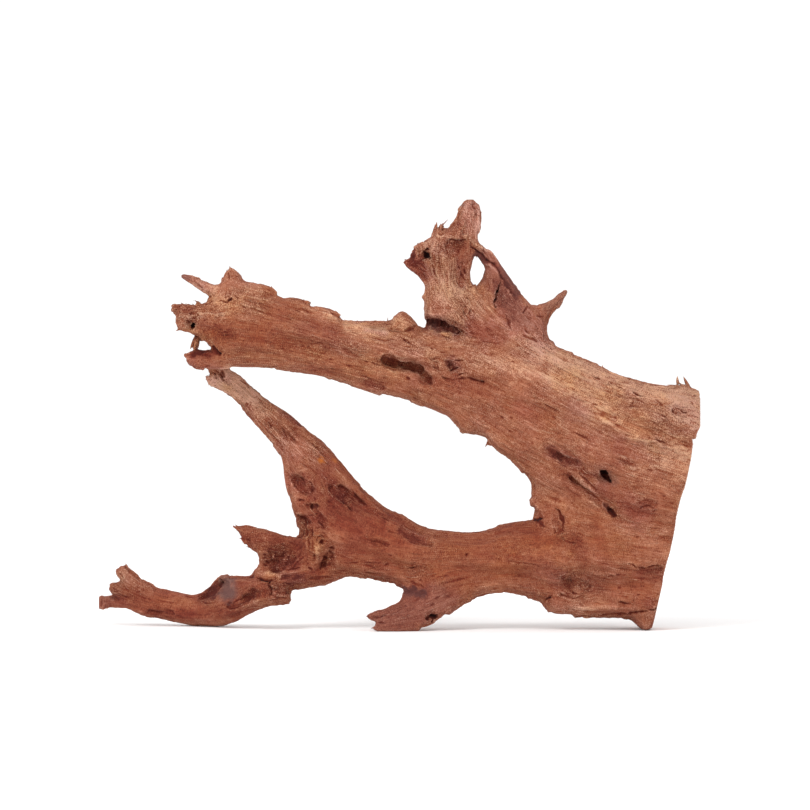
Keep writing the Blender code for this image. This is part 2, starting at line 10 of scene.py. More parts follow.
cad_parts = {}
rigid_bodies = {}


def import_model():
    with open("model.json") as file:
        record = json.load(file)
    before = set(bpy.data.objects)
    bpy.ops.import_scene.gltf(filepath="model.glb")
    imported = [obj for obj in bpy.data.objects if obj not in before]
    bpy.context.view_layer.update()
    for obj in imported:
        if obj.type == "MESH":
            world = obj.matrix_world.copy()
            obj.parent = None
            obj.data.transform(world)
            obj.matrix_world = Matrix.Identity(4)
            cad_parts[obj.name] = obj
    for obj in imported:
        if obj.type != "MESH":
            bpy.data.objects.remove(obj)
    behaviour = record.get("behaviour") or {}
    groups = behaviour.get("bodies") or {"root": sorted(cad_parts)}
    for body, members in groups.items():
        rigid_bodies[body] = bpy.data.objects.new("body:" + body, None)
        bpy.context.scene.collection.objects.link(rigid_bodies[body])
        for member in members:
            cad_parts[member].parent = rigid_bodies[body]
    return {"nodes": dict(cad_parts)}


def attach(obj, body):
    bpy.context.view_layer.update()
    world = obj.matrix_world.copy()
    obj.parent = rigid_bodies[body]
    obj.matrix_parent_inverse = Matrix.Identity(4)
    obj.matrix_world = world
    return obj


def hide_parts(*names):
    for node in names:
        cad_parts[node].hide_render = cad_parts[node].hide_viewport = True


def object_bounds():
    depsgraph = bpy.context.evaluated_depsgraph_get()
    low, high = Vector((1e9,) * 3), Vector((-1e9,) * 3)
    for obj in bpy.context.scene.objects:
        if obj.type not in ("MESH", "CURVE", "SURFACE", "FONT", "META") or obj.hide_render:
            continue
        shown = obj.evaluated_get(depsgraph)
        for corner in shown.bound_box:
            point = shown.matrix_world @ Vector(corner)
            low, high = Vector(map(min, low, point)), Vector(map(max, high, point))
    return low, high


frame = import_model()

cadLow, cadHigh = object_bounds()
mm = 0.001
boxLow, boxHigh = np.array(cadLow) / mm, np.array(cadHigh) / mm

# Marks and grain are placed in the front view, in steps across from the left and down from the top.
frontView = {
    "step": 0.7,           # mm
    "acrossAtMiddle": 399.0,
    "downAtGround": 628.0,
    "dip": math.radians(3.0),
}

bodyValues = {
    "voxel": 0.85,          # mm, the fine skin before it is thinned
    "triangles": 192000,
    "sparing": 0.00004,     # how much more the plain wood is decimated
    "swelling": 0.05,       # mm, makes up for what rounding takes off
    "broadRelief": 0.26,    # mm, ribs about 10 mm wide along the grain
    "ribRelief": 0.28,      # mm, ribs about 4 mm wide
    "fibreRelief": 0.19,    # mm, the finest ribs the skin can carry
    "crumbRelief": 0.18,    # mm, roughness with no direction
    "checkDepth": 0.9,      # mm, long drying cracks
    "sawMarks": 0.12,       # mm
    "floorFlat": (3.0, 0.8),    # mm, heights between which the underside turns smooth
    "napGain": (0.7, 0.45, 2.3),    # how much nap adds to the relief, and its least and most
    "hollowNap": 0.7,       # extra nap in a hollow
    "nearHollow": 0.25,     # mm, how deep a small hollow is when it counts in full
    "wideHollow": 1.6,      # mm, and a wide one
}

# Random clouds: weight, cell in mm and seed of each part
cloudValues = {
    "gate": [(1.0, 18.0, 41)],      # where drying cracks open
    "patch": [(1.0, 22.0, 51)],
    "crumb": [(1.0, 2.1, 52)],
    "nap": [(0.45, 14.0, 44)],
    "rose": [(0.24, 15.0, 46), (0.2, 5.0, 47)],
    "worn": [(0.35, 6.0, 65)],
    "jitter": [(0.7, 3.4, 61), (0.4, 1.7, 62)],     # frays the edges of the marks
    "wanderAcross": [(0.6, 4.0, 71), (0.35, 1.9, 72)],
    "wanderDown": [(0.6, 4.0, 73), (0.35, 1.9, 74)],
}

grainValues = {
    "cell": 3.0,            # mm, of the grid that holds the grain's directions
    "soft": 9.0,            # mm squared, keeps a line's pull even close to it
    "knotCore": 0.8,        # in a knot's radii, where its pull stops growing
    "knotReach": (3.2, 1.6),    # in a knot's radii, where its pull starts and is full
    "knotDepth": 8.0,       # mm before y = 0, where front knots end and back knots begin
    # cells in mm, how far along the grain their values are smeared in mm, and the seed
    "fine": ((1.5, 2.6, 3.0), 12.0, 21),
    "wide": ((5.0, 11.0), 32.0, 31),
}


def smoothStep(low, high, value):
    share = np.clip((value - low) / (high - low), 0.0, 1.0)
    return share * share * (3.0 - 2.0 * share)


def unit(vectors, floor=1e-9):
    return vectors / np.maximum(np.linalg.norm(vectors, axis=1), floor)[:, None]


def seenFromFront(points):
    # across and down, in steps, of points given in mm
    dip, step = frontView["dip"], frontView["step"]
    height = points[:, 2] * math.cos(dip) + points[:, 1] * math.sin(dip)
    across = frontView["acrossAtMiddle"] + points[:, 0] / step
    return across, frontView["downAtGround"] - height / step


def placedFromFront(across, down, depth):
    # mm position of a spot in the front view that lies at y = depth
    dip, step = frontView["dip"], frontView["step"]
    x = (across - frontView["acrossAtMiddle"]) * step
    z = ((frontView["downAtGround"] - down) * step - depth * math.sin(dip)) / math.cos(dip)
    return np.array([x, depth, z])


# The grain runs from every tip towards the sawn end: across, down, and depth y in mm.
grainLines = [
    # upper limb, from its top edge to its lower edge
    [(178, 311, -30), (215, 300, -27), (262, 292, -25), (300, 308, -24), (345, 322, -20), (400,
     330, -16),
     (450, 335, -13), (495, 332, -10), (535, 345, -9), (580, 368, -8), (630, 388, -7), (700, 402,
      -7)],
    [(180, 325, -30), (240, 322, -27), (300, 330, -24), (360, 345, -18), (420, 352, -15), (470,
     352, -13),
     (520, 362, -10), (570, 385, -8), (620, 408, -7), (700, 436, -7)],
    [(190, 345, -26), (250, 342, -25), (310, 350, -22), (360, 362, -18), (410, 378, -15), (460,
     385, -13),
     (505, 400, -10), (555, 425, -8), (610, 454, -7), (690, 482, -7)],
    [(195, 365, -24), (260, 356, -24), (320, 368, -20), (375, 385, -16), (425, 402, -14), (465,
     428, -13),
     (500, 450, -11), (540, 474, -9), (580, 496, -8), (630, 512, -7), (685, 522, -7)],
    # horn, peak and knuckle
    [(183, 276, -29), (205, 286, -27), (222, 296, -26), (250, 305, -25)],
    [(232, 270, -25), (236, 285, -25), (250, 300, -25), (280, 312, -24)],
    [(404, 314, -15), (415, 328, -15), (440, 334, -14)],
    # spur, wing, strap and thorn
    [(468, 203, -4), (462, 225, -6), (452, 245, -8), (447, 275, -10), (446, 300, -11), (455, 318,
     -11),
     (485, 335, -11), (520, 350, -10)],
    [(478, 215, -4), (474, 235, -5), (466, 262, -8), (462, 290, -9), (472, 312, -10), (505, 335,
     -10),
     (545, 355, -9)],
    [(430, 235, -8), (434, 255, -9), (430, 285, -11), (428, 310, -11), (440, 328, -12), (470, 338,
     -12)],
    [(406, 262, -14), (420, 264, -12), (432, 276, -11)],
    [(465, 232, -5), (485, 250, -4), (500, 272, -3), (515, 295, -3), (530, 318, -4), (555, 345, -6),
     (590, 365, -7)],
    [(487, 262, -4), (486, 285, -5), (492, 305, -7), (515, 332, -8), (540, 348, -8)],
    [(566, 291, 7), (552, 305, 3), (543, 320, 0), (540, 338, -3), (560, 355, -6)],
    # arm, and the lower limb that it grows from
    [(210, 374, 6), (235, 398, 2), (262, 425, -1), (285, 460, -3), (295, 500, -4), (305, 530, -4),
     (322, 552, -4), (355, 560, -4), (400, 562, -4)],
    [(218, 380, 6), (250, 410, 2), (285, 440, -1), (318, 475, -3), (350, 505, -4), (385, 530, -4),
     (430, 548, -5), (490, 550, -6), (550, 555, -7), (610, 563, -7), (675, 570, -7)],
    [(228, 372, 6), (260, 398, 2), (300, 430, -1), (340, 462, -3), (370, 495, -4), (410, 520, -4),
     (460, 533, -5), (510, 528, -6), (560, 530, -7), (620, 540, -7), (680, 548, -7)],
    [(330, 560, -4), (380, 562, -4), (440, 568, -5), (500, 568, -6), (560, 580, -7), (610, 590, -7),
     (665, 597, -7)],
    [(262, 575, -8), (300, 572, -6), (340, 572, -4), (385, 578, -4), (430, 588, -5), (480, 588, -6),
     (530, 586, -7), (560, 602, -7), (600, 611, -7), (658, 618, -7)],
    # prong, root and foot
    [(237, 527, -1), (262, 535, -3), (290, 545, -5), (318, 556, -5), (350, 565, -4)],
    [(98, 603, 43), (130, 604, 38), (170, 612, 30), (205, 618, 20), (235, 608, 5), (262, 594, -5),
     (290, 587, -12), (320, 577, -6), (350, 573, -4)],
    [(118, 572, 26), (135, 588, 30), (165, 598, 32), (198, 597, 22), (222, 583, 10), (248, 580, 0),
     (275, 576, -8), (305, 570, -6)],
    [(112, 583, 32), (140, 596, 33), (180, 606, 30), (215, 603, 16), (245, 593, 3), (272, 585, -7),
     (300, 576, -8)],
    [(368, 617, -33), (395, 612, -28), (420, 600, -20), (440, 585, -12), (470, 575, -7), (520,
     574, -7)],
    [(372, 628, -31), (410, 626, -28), (440, 615, -20), (462, 598, -12), (500, 588, -8), (540,
     590, -7)],
]

# Knots that the grain runs round: across, down, side (-1 front, 1 back), radius in mm
knots = [
    (571, 448, -1, 4.5),
    (302, 484, -1, 9.0),
    (321, 539, -1, 5.5),
    (228, 590, -1, 7.0),
    (531, 327, -1, 5.0),
    (568, 540, -1, 6.0),
    (578, 582, -1, 7.5),
    (455, 365, -1, 5.5),
    (443, 326, -1, 9.0),
    (480, 365, 1, 8.0),
    (600, 440, 1, 10.0),
    (350, 520, 1, 8.0),
    (620, 560, 1, 7.0),
    (270, 325, 1, 7.0),
]


def cellCorners(part):
    # a cell's eight corners, and how much each counts at spots this far across the cell
    for i, j, k in product((0, 1), repeat=3):
        share = (
            (part[:, 0] if i else 1 - part[:, 0])
            * (part[:, 1] if j else 1 - part[:, 1])
            * (part[:, 2] if k else 1 - part[:, 2])
        )
        yield i, j, k, share


class GrainField:
    # Unit directions on a coarse grid of cells round the wood
    def __init__(self, skin, cell):
        self.cell = cell
        self.low = skin.min(axis=0) - 3 * cell
        self.shape = np.ceil((skin.max(axis=0) + 3 * cell - self.low) / cell).astype(int) + 1
        near = np.zeros(self.shape, bool)
        spot = np.floor((skin - self.low) / cell).astype(int)[::3]
        for i, j, k in product(range(-2, 3), repeat=3):
            near[spot[:, 0] + i, spot[:, 1] + j, spot[:, 2] + k] = True
        cells = np.argwhere(near)
        centres = self.low + cells * cell
        total = np.zeros((len(cells), 3))
        for line in grainLines:
            run = np.array([placedFromFront(*spot) for spot in line])
            for start, end in zip(run, run[1:]):
                along = end - start
                length = np.linalg.norm(along)
                share = np.clip(((centres - start) @ along) / length**2, 0, 1)
                away = ((centres - start - share[:, None] * along) ** 2).sum(axis=1)
                total += (1.0 / (away + grainValues["soft"]) ** 2)[:, None] * (along / length)
        self.grid = np.zeros((int(np.prod(self.shape)), 3))
        self.grid[:, 0] = 1.0
        inside = np.ravel_multi_index(cells.T, self.shape)
        self.grid[inside] = roundKnots(centres, unit(total, 1e-12))

    def at(self, points):
        place = (points - self.low) / self.cell
        spot = np.floor(place).astype(int)
        spot = np.clip(spot, 0, self.shape - 2)
        part = np.clip(place - spot, 0, 1)
        found = np.zeros((len(points), 3))
        for i, j, k, share in cellCorners(part):
            row = (spot[:, 0] + i) * self.shape[1] + spot[:, 1] + j
            found += share[:, None] * self.grid[row * self.shape[2] + spot[:, 2] + k]
        return unit(found)


def roundKnots(points, grain):
    # bends the grain round each knot as water runs round a post
    across, down = seenFromFront(points)
    turned = grain.copy()
    start, full = grainValues["knotReach"]
    for knotAcross, knotDown, side, radius in knots:
        x = (across - knotAcross) * frontView["step"]
        z = -(down - knotDown) * frontView["step"]
        away = np.hypot(x, z)
        far = np.maximum(away, radius * grainValues["knotCore"])
        onSide = smoothStep(-4, 4, side * (points[:, 1] + grainValues["knotDepth"]))
        onSide = onSide * smoothStep(start * radius, full * radius, away)
        along = (turned[:, 0] * x + turned[:, 2] * z)
        pull = radius**2 / far**2
        bentX = turned[:, 0] * (1 + pull) - 2 * pull * along * x / far**2
        bentZ = turned[:, 2] * (1 + pull) - 2 * pull * along * z / far**2
        turned[:, 0] += onSide * (bentX - turned[:, 0])
        turned[:, 2] += onSide * (bentZ - turned[:, 2])
    return unit(turned)


def randomCloud(points, cell, seed):
    # smooth random values in a block of cells that repeats in every direction
    size = 48
    block = np.random.default_rng(seed).standard_normal(size**3)
    place = points / cell
    spot = np.floor(place).astype(int)
    part = place - spot
    part = part * part * (3 - 2 * part)
    value = np.zeros(len(points))
    for i, j, k, share in cellCorners(part):
        row = ((spot[:, 0] + i) % size) * size + (spot[:, 1] + j) % size
        value += share * block[row * size + (spot[:, 2] + k) % size]
    return value


def cloud(points, name, base=0.0):
    for weight, cell, seed in cloudValues[name]:
        base = base + weight * randomCloud(points, cell, seed)
    return base


def alongGrain(points, field, cells, reach, seed):
    # random values smeared along the grain, one set for each cell size, all with a spread of 1
    steps = 9
    hop = reach / steps
    sums = [randomCloud(points, cell, seed + n) for n, cell in enumerate(cells)]
    for way in (-1, 1):
        walker = points.copy()
        for step in range(steps):
            walker = walker + way * hop * field.at(walker)
            fade = 1.0 - (step + 1) / (steps + 1.5)
            for n, cell in enumerate(cells):
                sums[n] += fade * randomCloud(walker, cell, seed + n)
    return [(total - total.mean()) / total.std() for total in sums]


def vectorsOf(items, kind):
    flat = np.empty(len(items) * 3)
    items.foreach_get(kind, flat)
    return flat.reshape(-1, 3)


def setPositions(mesh, points):
    mesh.vertices.foreach_set("co", (points * mm).ravel())
    mesh.update()


def writeValue(mesh, name, value):
    # a value at each point, for the material to read
    kind, field = ("FLOAT_VECTOR", "vector") if value.ndim == 2 else ("FLOAT", "value")
    mesh.attributes.new(name, kind, "POINT").data.foreach_set(field, value.ravel())


class Neighbours:
    # averages over the ring of vertices round each vertex
    def __init__(self, mesh):
        flat = np.empty(len(mesh.edges) * 2, int)
        mesh.edges.foreach_get("vertices", flat)
        self.a, self.b = flat.reshape(-1, 2).T
        self.count = len(mesh.vertices)
        self.valence = sum(np.bincount(end, minlength=self.count) for end in (self.a, self.b))

    def mean(self, values):
        if values.ndim == 2:
            return np.column_stack([self.mean(column) for column in values.T])
        total = np.bincount(self.a, values[self.b], self.count)
        total = total + np.bincount(self.b, values[self.a], self.count)
        return total / self.valence

    def smooth(self, values, rounds, share=0.6):
        for _ in range(rounds):
            values = values + share * (self.mean(values) - values)
        return values


def selectOnly(piece):
    bpy.ops.object.select_all(action="DESELECT")
    piece.select_set(True)
    bpy.context.view_layer.objects.active = piece


def applyModifier(piece, kind, **settings):
    modifier = piece.modifiers.new(kind.title(), kind)
    for name, value in settings.items():
        setattr(modifier, name, value)
    selectOnly(piece)
    bpy.ops.object.modifier_apply(modifier=modifier.name)


# Broken points that grow out of the tips: base and tip (across, down, depth), then the radius at
# the base and at the tip in mm
shards = [
    # snout, peak, horn and jaw
    ((233, 282, -25), (230, 266, -25), 3.2, 0.7),
    ((230, 281, -25), (226.5, 271, -26), 2.2, 0.7),
    ((182, 308, -30), (172, 305, -31), 2.6, 0.9),
    ((186, 316, -30), (175.5, 311, -31), 2.0, 0.8),
    ((186, 326, -30), (177, 329.5, -31), 2.2, 0.7),
    ((190, 320, -31), (178, 318.5, -33), 2.4, 0.8),
    ((200, 357.5, -24), (184.5, 354.5, -24), 3.0, 0.9),
    ((206, 364, -24), (191, 360, -24), 2.6, 1.0),
    ((200, 302, -27), (194, 300, -28), 2.4, 1.0),
    # top edge of the upper limb
    ((276, 294, -25), (271, 286, -25), 2.4, 1.0),
    ((310, 305, -24), (303, 299, -24), 2.4, 1.0),
    ((341, 316, -22), (335, 309, -22), 2.2, 1.0),
    # arm
    ((218, 382, 6), (206.5, 376, 6), 2.2, 1.0),
    ((222, 378, 6), (209.5, 371, 6), 2.0, 0.8),
    # prong
    ((248, 535, -2), (232.5, 525, -1), 3.0, 0.7),
    ((252, 545, -3), (239, 537.5, -2), 2.4, 0.7),
    ((254, 549, -3), (243, 542, -3), 2.0, 0.7),
    # root tips
    ((128, 575, 26), (124.5, 563.5, 25), 2.4, 0.6),
    ((125, 577, 27), (115.5, 569.5, 26), 2.2, 0.8),
    ((120, 590, 34), (109.5, 584.5, 33), 2.4, 0.9),
    ((122, 594, 34), (111, 595.5, 34), 2.2, 0.9),
    ((112, 602, 42), (98.5, 600, 43), 3.2, 1.6),
    ((112, 604, 42), (99, 605.5, 43), 2.8, 1.4),
    # broken end of the root under the prong
    ((282, 592, -13), (291, 590.5, -13), 2.6, 0.9),
    ((282, 598, -13), (291.5, 600.5, -13), 2.4, 0.9),
    # foot
    ((380, 612, -28), (366.5, 616, -30), 2.6, 0.8),
    ((382, 624, -31), (372, 628, -31), 2.4, 0.9),
    # spur and thorn
    ((556, 302, 4), (566.5, 290, 8), 2.2, 1.0),
    ((425, 252, -12), (417.5, 247, -13), 3.6, 3.0),
    ((415, 262, -13), (403.5, 262, -14), 2.6, 1.0),
    ((425, 297, -11), (421.5, 296, -12), 2.2, 1.2),
    # underside of the trunk
    ((492, 441, -12), (486.5, 443.5, -13), 2.8, 1.4),
]


def growShards(piece):
    grown = []
    for base, tip, wide, thin in shards:
        start, end = Vector(placedFromFront(*base)) * mm, Vector(placedFromFront(*tip)) * mm
        bpy.ops.object.select_all(action="DESELECT")
        bpy.ops.mesh.primitive_cone_add(
            vertices=12, radius1=wide * mm, radius2=thin * mm, depth=(end - start).length,
            location=(start + end) / 2, rotation=(end - start).to_track_quat("Z", "Y").to_euler(),
        )
        grown.append(bpy.context.active_object)
    selectOnly(piece)
    for shard in grown:
        shard.select_set(True)
    bpy.ops.object.join()


def fineCopy(node, name):
    # the node's own form, with its facets rounded and a fine even skin
    piece = bpy.data.objects.new(name, node.data.copy())
    bpy.context.scene.collection.objects.link(piece)
    selectOnly(piece)
    bpy.ops.object.mode_set(mode="EDIT")
    bpy.ops.mesh.select_all(action="SELECT")
    bpy.ops.mesh.remove_doubles(threshold=0.00001)
    bpy.ops.object.mode_set(mode="OBJECT")
    applyModifier(piece, "SUBSURF", levels=2, render_levels=2)
    growShards(piece)
    voxel = bodyValues["voxel"] * mm
    applyModifier(piece, "REMESH", mode="VOXEL", voxel_size=voxel, adaptivity=0.0)
    return piece


def distanceToLine(across, down, line):
    # how far each spot is from the line, and how far along it that is, 0 to 1
    if len(line) == 1:
        return np.hypot(across - line[0][0], down - line[0][1]), np.full(len(across), 0.5)
    nearest, where = np.full(len(across), np.inf), np.zeros(len(across))
    for n, ((a0, d0), (a1, d1)) in enumerate(zip(line, line[1:])):
        runA, runD = a1 - a0, d1 - d0
        share = np.clip(((across - a0) * runA + (down - d0) * runD) / (runA**2 + runD**2), 0, 1)
        gap = np.hypot(across - a0 - share * runA, down - d0 - share * runD)
        where = np.where(gap < nearest, (n + share) / (len(line) - 1), where)
        nearest = np.minimum(nearest, gap)
    return nearest, where


# Sharp marks on the front: line of (across, down), half width in steps, depth in mm, darkness,
# the painted shade inside the mark
frontMarks = [
    # under the spur
    ([(440, 335), (447, 337), (453, 335)], 0.5, 0.4, 0.7),
    # head
    ([(228, 301), (230, 298.5), (232, 296)], 1.9, 2.0, 1.0),
    ([(220, 300), (224, 301.5), (228, 302)], 1.2, 0.9, 0.8),
    ([(231, 295), (229, 291), (228, 286)], 1.0, 0.5, 0.55),
    ([(239, 305), (243, 306.5), (248, 309)], 0.9, 0.5, 0.6),
    ([(211, 312), (214, 313)], 1.2, 0.5, 0.55),
    ([(219, 332), (223, 334)], 2.0, 0.5, 0.55),
    ([(225, 335), (229, 335.5)], 1.1, 0.5, 0.6),
    ([(262, 301), (265, 302)], 1.1, 0.5, 0.6),
    ([(228, 271), (229, 275), (230, 279)], 1.0, 0.7, 0.75),
    ([(226, 290), (225, 294), (227, 297)], 0.8, 0.5, 0.6),
    ([(194, 280), (198, 284), (204, 289)], 1.1, 0.4, 0.6),
    ([(190, 312), (195, 313), (198, 311)], 1.4, 0.5, 0.6),
    ([(176, 307), (181, 307)], 1.6, 0.5, 0.55),
    ([(222, 332), (230, 331)], 1.6, 0.4, 0.4),
    ([(193, 325), (194, 326)], 3.3, 3.6, 1.0),
    ([(187, 320), (191, 323)], 1.8, 1.2, 0.75),
    ([(190, 313), (194, 315), (199, 314)], 2.2, 1.1, 0.75),
    ([(195, 318)], 1.3, 0.7, 0.7),
    ([(213, 347), (216, 350), (220, 354)], 2.8, 2.2, 1.0),
    ([(188, 355), (196, 353), (212, 351)], 1.8, 0.9, 0.75),
    ([(190, 357), (197, 355)], 1.0, 0.6, 0.85),
    ([(228, 354), (231, 356)], 1.8, 0.6, 0.5),
    ([(263, 330)], 1.0, 0.7, 0.9),
    ([(267, 288), (272, 290)], 1.4, 0.8, 0.65),
    # upper limb
    ([(331, 311), (337, 313), (341, 318)], 2.0, 0.9, 0.6),
    ([(303, 300), (307, 303)], 1.4, 0.8, 0.6),
    ([(371, 362), (380, 364)], 1.2, 0.8, 0.85),
    ([(359, 374), (365, 376), (369, 379)], 1.2, 1.0, 0.9),
    ([(376, 338), (385, 340), (391, 339)], 1.3, 0.6, 0.5),
    ([(404, 338), (408, 341), (411, 342)], 1.9, 1.4, 0.95),
    ([(431, 346), (433, 348)], 1.5, 1.0, 0.75),
    ([(449, 345), (451, 348)], 1.8, 0.8, 0.55),
    ([(385, 322), (391, 323)], 1.5, 0.9, 0.85),
    ([(392, 326), (393, 331)], 1.3, 0.6, 0.6),
    ([(404, 330), (414, 327)], 2.6, 1.4, 0.7),
    ([(430, 358), (438, 358)], 1.7, 1.1, 0.7),
    ([(428, 364), (430, 367)], 1.0, 0.6, 0.6),
    ([(406, 377), (409, 379)], 1.8, 1.1, 0.85),
    ([(450, 371), (455, 369), (459, 366)], 1.4, 1.4, 0.95),
    ([(449, 364), (450, 369)], 1.6, 1.2, 0.85),
    ([(455, 360), (463, 359)], 1.5, 1.3, 1.0),
    ([(450, 353), (452, 356), (456, 354)], 1.1, 0.7, 0.7),
    ([(457, 375), (465, 373)], 1.3, 1.1, 1.0),
    ([(444, 377), (456, 379), (468, 377), (476, 380), (484, 382)], 1.2, 1.1, 0.8),
    ([(479, 380), (484, 382)], 1.3, 1.0, 1.0),
    ([(468, 361), (469, 363)], 1.4, 0.6, 0.6),
    ([(468, 332), (476, 332)], 1.3, 0.7, 0.7),
    ([(488, 334), (495, 335)], 1.2, 0.6, 0.65),
    ([(480, 339), (490, 342), (499, 342)], 1.1, 0.6, 0.55),
    # spur
    ([(446, 240), (456, 239), (466, 240)], 1.3, 1.6, 1.0),
    ([(453, 255), (454, 257)], 1.2, 0.9, 0.85),
    ([(460, 262), (463, 264)], 1.3, 0.9, 0.7),
    ([(455, 268), (456, 271)], 1.3, 0.9, 0.95),
    ([(459, 266), (460, 270)], 1.2, 0.8, 0.9),
    ([(464, 270), (466, 274)], 1.7, 1.0, 0.9),
    ([(458, 279), (462, 277)], 1.1, 0.7, 0.75),
    ([(470, 285), (474, 287)], 1.2, 0.7, 0.6),
    ([(424.5, 249.5), (428, 249.5)], 2.0, 2.4, 1.0),
    ([(424, 251.5), (427, 253), (428, 256.5)], 3.1, 3.2, 1.0),
    ([(420, 260), (424, 258.5), (427, 258)], 1.6, 1.2, 0.9),
    ([(419, 252), (419, 257)], 1.0, 0.9, 0.85),
    ([(414.5, 245), (413, 256)], 2.6, 0.9, 0.78),
    ([(431, 261), (434, 266), (434, 271), (437, 278)], 1.1, 0.9, 0.8),
    ([(464, 303), (467, 306)], 1.6, 0.8, 0.7),
    ([(464, 310), (465, 315)], 1.2, 1.2, 0.85),
    ([(469, 308), (469, 316)], 1.2, 1.0, 0.7),
    ([(433, 308), (444, 307)], 1.0, 0.6, 0.55),
    ([(453, 321), (456, 323)], 1.2, 0.9, 0.85),
    ([(472, 203), (475, 208)], 1.5, 0.7, 0.6),
    ([(474, 210), (477, 215)], 1.9, 1.1, 0.75),
    ([(460, 206), (464, 203)], 1.5, 0.7, 0.5),
    ([(438, 233), (441, 235), (443, 232)], 1.2, 1.0, 0.7),
    ([(440.5, 322.5), (444.5, 322.5), (448, 325.5)], 2.6, 2.6, 1.0),
    ([(449, 325.5), (455, 327), (459, 330), (457.5, 333)], 1.6, 1.6, 0.95),
    ([(459.5, 331.5), (463, 330), (465, 329)], 1.1, 0.9, 0.9),
    ([(441, 334), (445, 335.5), (450, 337)], 1.1, 0.9, 0.9),
    ([(471, 246), (479, 252), (487, 259), (495, 265), (500, 272)], 2.0, 1.5, 0.97),
    ([(499, 272), (505, 281), (512, 290), (516, 295)], 2.0, 1.2, 0.7),
    ([(500.5, 281.5), (498, 285), (498.5, 289), (495.5, 293), (496.5, 298), (494.5, 302),
     (495.5, 307)], 1.5, 2.2, 1.0),
    ([(511, 289), (512, 292)], 1.5, 0.8, 0.85),
    ([(506, 314), (509, 321), (511, 327)], 1.7, 1.1, 0.75),
    ([(528, 304), (526, 309), (522, 313)], 1.1, 1.0, 0.85),
    ([(537, 315), (543, 316)], 1.5, 0.8, 0.7),
    ([(545, 309), (552, 309)], 1.4, 0.7, 0.6),
    ([(448, 241), (448, 245)], 0.9, 0.5, 0.6),
    ([(443, 247), (444, 252)], 0.8, 0.5, 0.6),
    ([(463, 243), (464, 247)], 0.9, 0.5, 0.6),
    ([(439, 256), (440, 260)], 0.9, 0.5, 0.65),
    ([(445, 255), (446, 259)], 0.9, 0.5, 0.6),
    ([(461, 272), (463, 277)], 1.2, 0.9, 0.9),
    ([(463, 277), (466, 280)], 1.1, 0.7, 0.75),
    ([(457, 281), (459, 284)], 1.0, 0.6, 0.7),
    ([(467, 285), (470, 287)], 1.0, 0.7, 0.75),
    ([(436, 287), (438, 292)], 0.8, 0.5, 0.6),
    ([(470, 241), (472, 246)], 0.9, 0.8, 0.8),
    # trunk
    ([(579, 474), (588, 482), (596, 489)], 1.4, 0.8, 0.8),
    ([(567, 474), (572, 478), (577, 482)], 1.7, 0.4, 0.34),
    ([(580, 486), (590, 493), (600, 499), (606, 504)], 1.0, 0.5, 0.5),
    ([(602, 472), (606, 475)], 3.6, 4.6, 1.0),
    ([(606, 476), (610, 482)], 1.7, 2.2, 1.0),
    ([(602, 458), (611, 465), (617, 469)], 0.8, 0.5, 0.6),
    ([(656, 439), (662, 441), (667, 443)], 1.6, 1.3, 0.9),
    ([(650, 445), (653, 446)], 1.1, 0.7, 0.7),
    ([(632, 391), (637, 393), (642, 395)], 1.9, 1.6, 0.95),
    ([(618, 381), (631, 382)], 1.1, 0.8, 0.75),
    ([(617, 385), (622, 388), (627, 390)], 1.2, 0.8, 0.7),
    ([(629, 404), (634, 404)], 1.4, 1.0, 0.9),
    ([(634, 399), (641, 401), (647, 404)], 1.1, 0.7, 0.65),
    ([(656, 400), (660, 403), (664, 403)], 1.3, 0.8, 0.75),
    ([(664, 406), (671, 408)], 1.1, 0.6, 0.6),
    ([(592, 403), (598, 404)], 1.4, 0.8, 0.75),
    ([(576, 359), (583, 361)], 1.3, 0.6, 0.6),
    ([(664, 419), (668, 422)], 1.3, 0.7, 0.65),
    ([(673, 408), (674, 411)], 1.6, 0.9, 0.85),
    ([(680, 408), (683, 411.5), (687, 411)], 1.2, 0.8, 0.8),
    ([(690, 402), (694, 405), (697, 408)], 1.2, 0.6, 0.6),
    ([(689, 393), (697, 397)], 1.4, 0.6, 0.55),
    ([(604, 503), (609, 508)], 2.6, 1.6, 0.7),
    ([(608, 508), (612, 512), (615, 514)], 2.8, 2.6, 0.93),
    ([(640, 507), (648, 505), (654, 508)], 1.5, 1.0, 0.8),
    ([(652, 511), (656, 510)], 1.0, 0.6, 0.7),
    ([(555, 507), (560, 514), (563, 521), (563, 527)], 2.0, 1.4, 0.88),
    ([(553, 527), (556, 532)], 1.3, 0.9, 0.75),
    ([(561, 536), (568, 541), (576, 542)], 1.0, 0.6, 0.6),
    ([(556, 589), (563, 594), (575, 597), (585, 595)], 1.3, 0.8, 0.5),
    ([(545, 600), (551, 596)], 1.4, 1.2, 1.0),
    ([(628, 562), (637, 568)], 1.0, 0.7, 0.7),
    ([(637, 568), (645, 567), (655, 565), (661, 565)], 1.2, 1.2, 0.85),
    ([(656, 564), (660, 565)], 1.2, 0.8, 0.8),
    ([(608, 575), (614, 574)], 1.6, 0.8, 0.65),
    ([(618, 601), (622, 602), (626, 604)], 1.5, 1.2, 1.0),
    ([(632, 600)], 1.2, 1.0, 0.95),
    ([(575, 615), (592, 615)], 1.5, 1.6, 0.85),
    ([(597, 614), (620, 613), (642, 611), (656, 608)], 1.5, 1.8, 0.85),
    # lower limb
    ([(531, 520), (536, 519.5), (541, 519)], 1.8, 1.0, 1.0),
    ([(536, 521), (541, 523), (545, 526)], 2.0, 0.8, 0.75),
    ([(467, 554)], 2.3, 1.6, 0.9),
    ([(506, 560), (516, 561), (530, 563), (540, 566)], 1.0, 0.6, 0.6),
    ([(508, 559), (509, 564)], 0.9, 0.5, 0.6),
    ([(407, 568), (411, 568), (416, 566)], 1.2, 0.9, 0.8),
    ([(412, 563), (413, 568)], 0.9, 0.6, 0.7),
    ([(405, 525), (412, 529)], 1.2, 0.7, 0.7),
